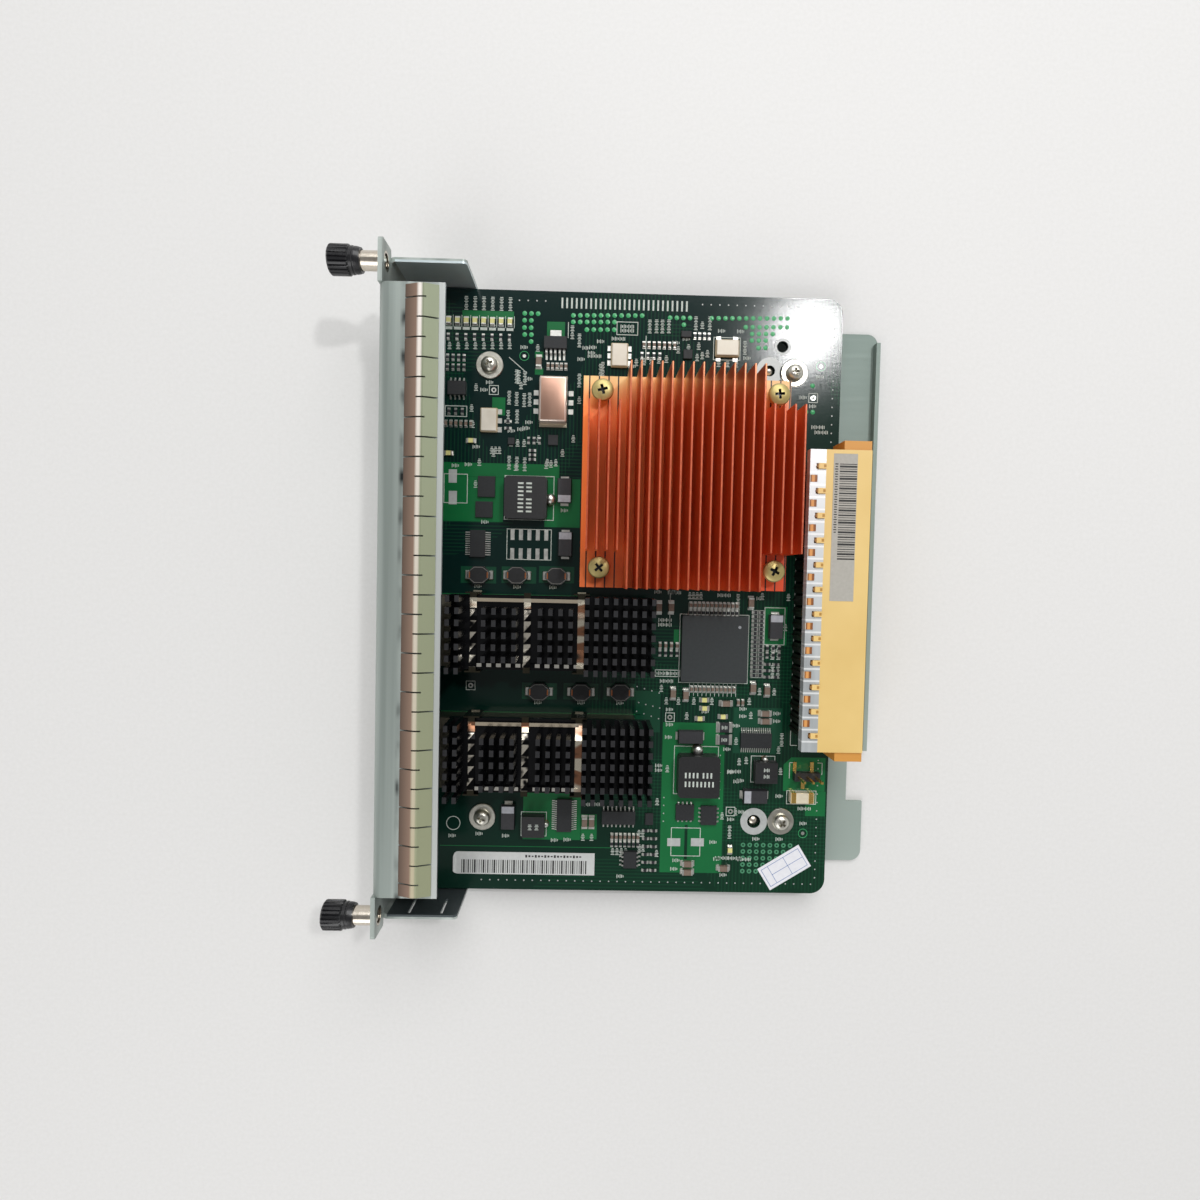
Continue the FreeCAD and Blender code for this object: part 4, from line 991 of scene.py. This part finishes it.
# The contact tails are painted near-black as painted shade.
contact = plain_finish(
    "contact_copper", 500, (12, 9, 8), (36, 24, 17),
    rough=0.3, spread=0.15, metal=0.5)
stiffener = Finish("stiffener_steel")
punch = stiffener.grain(300, (1, 0.12, 1))
crease = stiffener.band((stiffener.place("Y") * (2 / PEG_STEP)) % 1, 0.5, 0.04, 0.06)
dulled = stiffener.mix(punch, ink(150, 155, 157), ink(206, 210, 211))
near_glare = stiffener.ramp(stiffener.place("Y"), -0.02, 0.04)
lit_sheet = stiffener.mix(near_glare, dulled, ink(226, 229, 230))
stiffener.set({
    "Base Color": stiffener.mix(crease * 0.8, lit_sheet, ink(244, 246, 246)),
    "Metallic": 0.35,
    "Roughness": 0.3 + punch * 0.2,
    "Normal": stiffener.bump(punch, 0.00001),
})
dress(tan, "connector_housing")
dress(amber, "connector_wafers")
dress(contact, "connector_tails")
dress(stiffener, "connector_stiffener")

label_grey = plain_finish("label_paper", 1100, (160, 157, 148), (178, 175, 167), rough=0.6)
black_ink = plain_finish("black_ink", 1500, (20, 20, 20), (48, 47, 45), rough=0.5)
LABEL_X = 126.6
LABEL_Y = 20.8
label = [paint(block((6.7, 41.0, LABEL_T), (LABEL_X, LABEL_Y, CONN_TOP + LABEL_T / 2), 0.03), label_grey)]
for k in range(40):
    wide = CODE_BARS[k % len(CODE_BARS)] * 0.45
    centre = (LABEL_X + 0.8, LABEL_Y + 17.6 - k * CODE_STEP, CONN_TOP + LABEL_T)
    label.append(paint(block((4.85, wide, 0.02), centre), black_ink))
for k in range(28):
    centre = (LABEL_X - 2.5, LABEL_Y + 17.6 - k * 0.7, CONN_TOP + LABEL_T)
    label.append(paint(block((0.9 - 0.25 * (k % 2), 0.3, 0.02), centre), black_ink))
seat(join(label), "connector_label")

# Network chip
# A square moulded package with balls underneath, charcoal and slightly dull, with a round pin mark
# in one corner.
charcoal = plain_finish(
    "package_charcoal", 1300, (42, 46, 47), (54, 58, 59),
    rough=0.5, spread=0.15, gloss=0.35, relief=0.00001)
dress(charcoal, "phy_chip")
pin_mark = paint(lathe(((0, 0), (0.45, 0), (0.45, 0.03), (0, 0.03)), 16), pad_grey)
pin_mark.data.transform(Matrix.Translation((100.7, -8.4, 2.3)))
seat(pin_mark, "network_chip_mark")

# Inductors
# Moulded power inductors of pressed iron powder with the end of the winding showing at one side,
# and octagonal chokes: a ferrite drum with a copper winding between its flanges and tinned feet.
ferrite = plain_finish(
    "ferrite", 1800, (13, 13, 15), (30, 30, 32),
    rough=0.34, spread=0.2, relief=0.00002)
winding = Finish("enamelled_wire")
turns = abs((winding.place("Z") * 3300) % 1 - 0.5)
winding.set({
    "Base Color": winding.mix(turns * 2, ink(120, 60, 30), ink(214, 132, 78)),
    "Metallic": 0.7,
    "Roughness": 0.3,
    "Normal": winding.bump(turns, 0.0001),
})
# A pale grey line runs round the top rim of each choke.
bar_grey = plain_finish("pale_rim_line", 900, (84, 84, 80), (140, 140, 134), rough=0.5)
dress(ferrite, "power_inductors", "chip_inductors")

COIL_TOP = 5.0
CHIP_COIL_TOP = 3.5


def wire_end(radius, high, places):
    """The flattened end of a winding, welded over with tin."""
    bump = lathe((
        (0, 0), (radius, 0), (radius, high * 0.4), (radius * 0.92, high * 0.7), (radius * 0.6, high * 0.94),
        (0, high)), 20)
    paint(smooth(bump, 60), tin, winding, lambda middle: middle.z < high * 0.35)
    return set_out(bump, places)


wire_ends = join([
    wire_end(1.7, 2.6, at(0, (44.2, 27.9), (89.4, -45.3))),
    wire_end(1.0, 1.8, at(0, (109.6, -47.9), (44.6, -68.4))),
])
seat(wire_ends, "inductor_wire_ends")

tall_bars = set_out(printed_bar(0.5, 1.6), rows(
    (35.8, 32.0, 0, -1.15, 8, 90), (38.2, 32.0, 0, -1.15, 3, 90), (38.2, 27.4, 0, -1.15, 4, 90),
    (85.5, -51.9, 1.15, 0, 4), (90.7, -51.9, 1.15, 0, 3), (85.5, -54.5, 1.15, 0, 8),
))
tall_bars.data.transform(Matrix.Translation((0, 0, COIL_TOP - 0.02)))
low_bars = set_out(word(4), [(40.1, -68.5, 90), (42.1, -68.5, 90), (109.6, -50.4, 0), (109.6, -52.3, 0)])
low_bars.data.transform(Matrix.Translation((0, 0, CHIP_COIL_TOP - 0.02)))
seat(join([tall_bars, low_bars]), "inductor_print")

CHOKE = (6.4, 5.0)
CHOKE_CUT = 1.7
CHOKE_PLACES = at(0, (23.7, 5.4), (34.8, 5.5), (46.4, 5.5), (41.9, -28.7), (54.3, -28.6), (66.0, -28.4))


def octagon(shrink, low, high):
    length, width = CHOKE
    slab = block((length - 2 * shrink, width - 2 * shrink, high - low), (0, 0, (low + high) / 2))
    bpy.ops.object.mode_set(mode="EDIT")
    bpy.ops.mesh.select_all(action="DESELECT")
    leave_edit()
    for side in slab.data.edges:
        a, b = (slab.data.vertices[k].co for k in side.vertices)
        side.select = abs(a.z - b.z) > 0.1
    bpy.ops.object.mode_set(mode="EDIT")
    bpy.ops.mesh.select_mode(type="EDGE")
    bpy.ops.mesh.bevel(offset=CHOKE_CUT * math.sqrt(0.5) * 1.4, offset_type="OFFSET")
    leave_edit()
    return slab


bpy.ops.mesh.primitive_circle_add(
    vertices=8, radius=0.5 / math.cos(math.pi / 8), fill_type="NGON", rotation=(0, 0, math.pi / 8))
bpy.ops.object.transform_apply()
bpy.context.object.scale = (5.9, 4.6, 1)
rim_line = hollow(0.14, 0.04)
rim_line.data.transform(Matrix.Translation((0, 0, 2.39)))
choke = join([
    paint(octagon(0, 0.1, 0.7), ferrite), paint(octagon(0.35, 0.7, 1.6), winding),
    paint(octagon(0, 1.6, 2.4), ferrite), paint(rim_line, bar_grey),
] + [paint(block((1.3, 2.6, 0.8), (side * 3.45, 0, 0.4), 0.15), tin) for side in (-1, 1)] + [
    paint(block((0.35, 1.7, 0.03), (side * 2.6, 0, 2.41)), winding) for side in (-1, 1)
])
chokes = set_out(choke, CHOKE_PLACES)
seat(chokes, "choke_coils_wound")
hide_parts("choke_coils")

# Capacitors and the power diode
# Moulded tantalum capacitors with a grey polarity bar, and one moulded diode. Their tinned leads
# wrap under the body at both ends.
moulded = plain_finish(
    "moulded_case", 1500, (30, 30, 33), (46, 46, 50),
    rough=0.42, spread=0.14, relief=0.00001)
bar_ink = plain_finish("polarity_bar", 1400, (138, 140, 146), (176, 178, 184), rough=0.5)
dress(moulded, "tantalum_capacitors", "power_diode")
TANTALUM_PLACES = (
    (48.3, 30.5, 270), (48.8, 14.9, 90), (33.5, -66.1, 90), (111.5, -8.0, 90), (106.8, -58.7, 180),
)
polarity = set_out(paint(block((2.0, 3.6, 0.03), (2.4, 0, 2.81)), bar_ink), TANTALUM_PLACES)
seat(polarity, "tantalum_polarity_bars")
case_lead = join([
    paint(block((0.9, 2.4, 0.14), (side * 3.85, 0, 0.08), 0.03), tin) for side in (-1, 1)
] + [paint(block((0.14, 2.2, 1.3), (side * 3.68, 0, 0.7), 0.03), tin) for side in (-1, 1)])
case_leads = set_out(case_lead, list(TANTALUM_PLACES) + [(87.1, -41.3, 0)])
seat(case_leads, "capacitor_leads")

# Oscillators
# A drawn metal can soldered over its base, and three small ceramic packages with a metal lid. All
# stand on tinned pads.
can_metal = plain_finish(
    "can_metal", 200, (164, 126, 108), (190, 154, 136),
    rough=0.26, spread=0.16, metal=0.9, relief=0.00001, stretch=(1, 0.2, 1))
ceramic = plain_finish("ceramic_cream", 900, (176, 158, 126), (204, 190, 160), rough=0.5)
lid = plain_finish(
    "oscillator_lid", 240, (190, 182, 166), (224, 218, 206),
    rough=0.4, spread=0.15, metal=0.25)
dress(cage_steel, "oscillator_base")
can = block((8.0, 13.0, 3.8), (44.5, 56.4, 2.7))
pick(can, lambda corner: True)
bpy.ops.mesh.select_mode(type="EDGE")
bpy.ops.mesh.bevel(offset=0.55, segments=3)
leave_edit()
can_rim = plain_finish("can_rim", 240, (206, 186, 172), (234, 222, 212), rough=0.3, metal=0.6)
paint(smooth(can, 50), can_metal, can_rim, lambda m: abs(m.x - 44.5) > 3.4 or abs(m.y - 56.4) > 5.9)
seat(can, "oscillator_can_drawn")
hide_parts("oscillator_can")

SMALL_CAN_PLACES = ((25.8, 50.6, 90), (63.5, 70.3, 90), (95.0, 73.2, 0))
small_can = join([
    paint(block((7.0, 5.0, 1.2), (0, 0, 0.6), 0.25), ceramic),
    paint(block((6.4, 4.4, 0.4), (0, 0, 1.4), 0.18, 2), lid),
])
small_cans = set_out(small_can, SMALL_CAN_PLACES)
seat(small_cans, "small_oscillators_lidded")
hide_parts("small_oscillators")
can_pad = paint(block((1.4, 1.5, PAD_T), (0, 0, PAD_T / 2)), tin)
CAN_PADS = rows(
    (39.4, 59.0, 0, -2.65, 3), (49.6, 59.0, 0, -2.65, 3), (28.8, 53.2, 0, -2.6, 3),
    (60.7, 72.4, 0, -2.1, 3), (66.3, 72.4, 0, -2.1, 3), (92.5, 76.0, 5, 0, 2), (92.5, 70.4, 5, 0, 2),
)
seat(set_out(can_pad, CAN_PADS), "oscillator_pads")

# Chips with leads
# Moulded small-outline and thin packages, a tab regulator and flat power switches. The leads are
# tinned strip, bent down like a gull's wing to the pads.
dress(chip_black, "outline_chips", "thin_chips", "power_switches", "tab_regulator")


def gull_lead(width, reach, height):
    """One lead along +X: out of the body at half its height, down, and out along the pad."""
    thick = 0.16
    top = height * 0.5
    return join([
        paint(block((reach * 0.4, width, thick), (reach * 0.2, 0, top)), tin),
        paint(block((thick, width, top), (reach * 0.4, 0, top / 2 + thick / 2)), tin),
        paint(block((reach * 0.6, width, thick), (reach * 0.7, 0, thick / 2)), tin),
    ])


def two_sides(x, y, turn, count, pitch, half):
    """Places of the leads along both sides of a body that is turned about its centre."""
    places = []
    for side in (0, 180):
        a = math.radians(turn + side)
        for k in range(count):
            along = (k - (count - 1) / 2) * pitch
            places.append((
                x + half * math.cos(a) - along * math.sin(a), y + half * math.sin(a) + along * math.cos(a),
                turn + side))
    return places


LEAD_ROWS = (
    (0.42, 1.2, 1.6, two_sides(16.4, 59.6, 90, 4, 1.27, 1.95) + two_sides(66.3, -66.0, 90, 8, 1.27, 1.95)
     + two_sides(70.0, -78.6, 0, 4, 1.27, 1.95)),
    (0.3, 1.5, 1.1, two_sides(106.8, -42.2, 90, 14, 0.65, 2.2) + two_sides(50.1, -65.7, 0, 14, 0.65, 2.2)
     + two_sides(23.1, 14.6, 0, 11, 0.65, 2.2)),
    (0.5, 0.7, 0.7, two_sides(86.1, -64.2, 90, 4, 1.27, 2.35) + two_sides(93.3, -65.0, 0, 4, 1.27, 2.35)),
    (0.6, 2.9, 2.3, row(42.25, 71.5, 1.27, 0, 5, -90)),
)
leads = [set_out(gull_lead(wide, reach, tall), places) for wide, reach, tall, places in LEAD_ROWS]
seat(join(leads), "chip_leads")
tab = paint(block((3.3, 2.3, 0.56), (44.8, 76.0, 0.29), 0.08), tin)
seat(tab, "regulator_tab")

# Indicator lamps
# A row of chip lamps behind the panel and seven single ones on the board: small pale bodies with
# tinned ends, soldered flat on their pads.
led_amber = plain_finish("led_amber", 700, (196, 190, 112), (228, 224, 158), rough=0.3)


def chip_part(length, width, height, cap, body):
    """A ceramic chip part lying along X, with tinned end caps and its two pads."""
    chip = block((length, width, height), (0, 0, height / 2 + 0.03), 0.05)
    bpy.ops.object.mode_set(mode="EDIT")
    for side in (-1, 1):
        bpy.ops.mesh.select_all(action="SELECT")
        bpy.ops.mesh.bisect(plane_co=(side * (length / 2 - cap), 0, 0), plane_no=(1, 0, 0))
    leave_edit()
    paint(chip, body, tin, lambda middle: abs(middle.x) > length / 2 - cap)
    ends = [
        paint(block((cap * 1.5, width * 1.1, 0.06), (side * (length / 2 + cap * 0.3), 0, 0.03)), tin)
        for side in (-1, 1)
    ]
    return join([chip] + ends)


lamps = set_out(chip_part(2.0, 1.3, 0.9, 0.35, led_amber), row(13.6, 79.2, 2.54, 0, 8, 90))
seat(lamps, "indicator_lamps_lensed")
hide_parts("indicator_leds")
LAMP_PLACES = (
    (91.1, -30.4, 0), (91.2, -32.9, 0), (89.9, -36.0, 0), (96.8, -35.3, 0), (100.0, -75.5, 90),
    (20.6, 44.6, 0), (14.1, 40.8, 0),
)
more_lamps = set_out(chip_part(2.2, 1.3, 0.8, 0.4, led_amber), LAMP_PLACES)
seat(more_lamps, "status_lamps")

# Chip capacitors and resistors
# Small ceramic parts with tinned ends, soldered flat on their pads in rows round the chips that
# they serve, with a few small moulded chips among them.
tan_ceramic = plain_finish("capacitor_tan", 1200, (98, 82, 70), (128, 110, 96), rough=0.5)
resistor = plain_finish("resistor_black", 1500, (20, 21, 24), (44, 46, 50), rough=0.4)
BIG_CAPS = at(
    90, (76.9, -3.1), (80.5, -3.0), (104.2, -1.2), (81.7, -28.6), (85.5, -29.0), (105.5, -26.5),
    (109.7, -27.2), (56.2, -67.8), (58.3, -67.8), (40.0, 68.0),
) + at(
    0, (97.6, -31.3), (109.4, -34.1), (109.5, -36.4), (87.3, -79.8), (87.3, -82.3), (98.1, -81.0),
)
SMALL_CAPS = rows(
    (86.4, -2.2, 1.245, 0, 12, 90), (87.2, -27.2, 1.26, 0, 11, 90), (70.6, 73.7, 1.5, 0, 7, 90),
    (77.5, -14.4, 1.7, 0, 4, 90), (42.7, 66.8, 1.3, 0, 5, 90), (64.5, -72.0, 1.3, 0, 7, 90),
    (13.2, 49.5, 1.46, 0, 6, 90), (101.3, -31.0, 1.3, 0, 2, 90),
)
SMALL_RESISTORS = rows(
    (86.4, -4.4, 1.245, 0, 12, 90), (105.7, -4.0, 0, -1.253, 16), (107.5, -4.0, 0, -1.253, 16),
    (109.5, -14.6, 1.8, 0, 3, 90), (109.5, -16.6, 1.8, 0, 3, 90), (109.6, -19.4, 0, -1.9, 3),
    (112.2, -19.4, 0, -1.9, 3), (77.5, -16.6, 1.7, 0, 4, 90), (70.1, 70.6, 1.75, 0, 4, 90),
    (85.5, 76.7, 1.4, 0, 4, 90), (13.5, 74.6, 2.54, 0.02, 8, 90), (13.4, 68.6, 1.6, 0, 4, 90),
    (13.4, 65.8, 1.6, 0, 4, 90), (14.0, 53.0, 1.95, 0, 3, 90), (31.3, 50.5, 0, -2, 2),
    (37.4, 45.1, 1.6, 0, 3, 90), (38.6, 42.2, 0, -1.3, 3), (64.5, -74.2, 1.3, 0, 7, 90),
    (74.6, -70.1, 0, -2.4, 6), (77.0, -70.1, 0, -2.4, 6),
)
caps = join([
    set_out(chip_part(3.2, 1.6, 1.3, 0.5, tan_ceramic), BIG_CAPS),
    set_out(chip_part(1.6, 0.8, 0.7, 0.3, tan_ceramic), SMALL_CAPS),
])
seat(caps, "chip_capacitors")
WIDE_RESISTORS = at(0, (97.3, -38.5), (97.3, -42.2))
WIDE_TOP = 0.7
wide_marks = set_out(word(4), WIDE_RESISTORS)
wide_marks.data.transform(Matrix.Translation((0, 0, WIDE_TOP)))
resistors = join([
    set_out(chip_part(1.5, 0.75, 0.45, 0.3, resistor), SMALL_RESISTORS),
    set_out(chip_part(3.8, 2.9, WIDE_TOP, 0.5, resistor), WIDE_RESISTORS), wide_marks,
])
seat(resistors, "chip_resistors")
SMALL_CHIPS = (
    (83.5, 71.2, 2.7, 2.7), (82.9, 77.0, 3.0, 1.8), (44.6, 45.3, 3.0, 3.0), (32.4, 44.7, 2.0, 2.0),
    (75.5, -66.4, 2.4, 3.5),
)
tiny = [
    paint(block((length, width, 0.85), (x, y, 0.45), 0.1), chip_black)
    for x, y, length, width in SMALL_CHIPS
]
seat(join(tiny), "small_chips")

# Jumper header and fuse
# Gold-plated square pins in a black moulded strip, soldered down by three flat feet, and a ceramic
# chip fuse soldered on by its gold-plated caps.
gold = plain_finish("gold_pin", 600, (206, 164, 78), (240, 206, 128), rough=0.2, spread=0.12, metal=1)
fuse_white = plain_finish("fuse_white", 700, (196, 184, 156), (226, 218, 198), rough=0.35)
dress(socket_black, "pin_header")
dress(gold, "header_pins")
header_foot = paint(block((1.1, 2.9, 0.3), (0, 0, 0.17), 0.06), gold)
header_feet = set_out(header_foot, [(118.8, -50.0, 0), (124.0, -50.0, 0), (121.4, -55.2, 0)])
seat(header_feet, "header_feet")
dress(fuse_white, "board_fuse")
fuse_cap = block((1.6, 3.2, 2.5), (0, 0, 1.25), 0.15)
fuse_caps = set_out(paint(fuse_cap, gold), [(118.2, -58.9, 0), (123.4, -58.9, 0)])
seat(fuse_caps, "fuse_end_caps")

# Labels on the board
# A printed paper label with plain bars along the board's edge, and a small inspection sticker with
# ruled fields, stuck on askew at the corner.
label_white = plain_finish("label_white", 1000, (186, 188, 186), (206, 208, 206), rough=0.5)
sticker_white = plain_finish("sticker_white", 900, (214, 214, 220), (232, 232, 236), rough=0.5)
blue_ink = plain_finish("blue_ink", 900, (84, 110, 160), (120, 144, 190), rough=0.5)
paper_strip = block((42.1, 6.7, 0.1), (38.4, -80.6, 0.05))
pick(paper_strip, lambda corner: corner.x < 20)
bpy.ops.mesh.bevel(offset=1.2, segments=4)
leave_edit()
strip = [paint(paper_strip, label_white)]
for k in range(58):
    wide = CODE_BARS[k % len(CODE_BARS)] * 0.4
    strip.append(paint(block((wide, 4.0, 0.02), (19.8 + 0.65 * k, -81.6, 0.11)), black_ink))
for k in range(18):
    strip.append(paint(block((0.6, 0.8 - 0.2 * (k % 3), 0.02), (39.0 + 0.95 * k, -78.4, 0.11)), black_ink))
seat(join(strip), "code_label")
sticker = [paint(block((14.4, 7.6, 0.1), (0, 0, 0.05), 0.04), sticker_white)]
for x, y, w, d in ((0, 2.9, 12.8, 0.15), (0, -2.9, 12.8, 0.15), (-6.4, 0, 0.15, 5.8), (6.4, 0, 0.15, 5.8),
                   (-4.2, 0, 0.15, 5.8), (1.2, 0, 0.15, 5.8), (1.1, 0, 10.6, 0.15)):
    sticker.append(paint(block((w, d, 0.02), (x, y, 0.11)), blue_ink))
seat(set_out(join(sticker), [(116.6, -80.7, 32)]), "inspection_sticker")
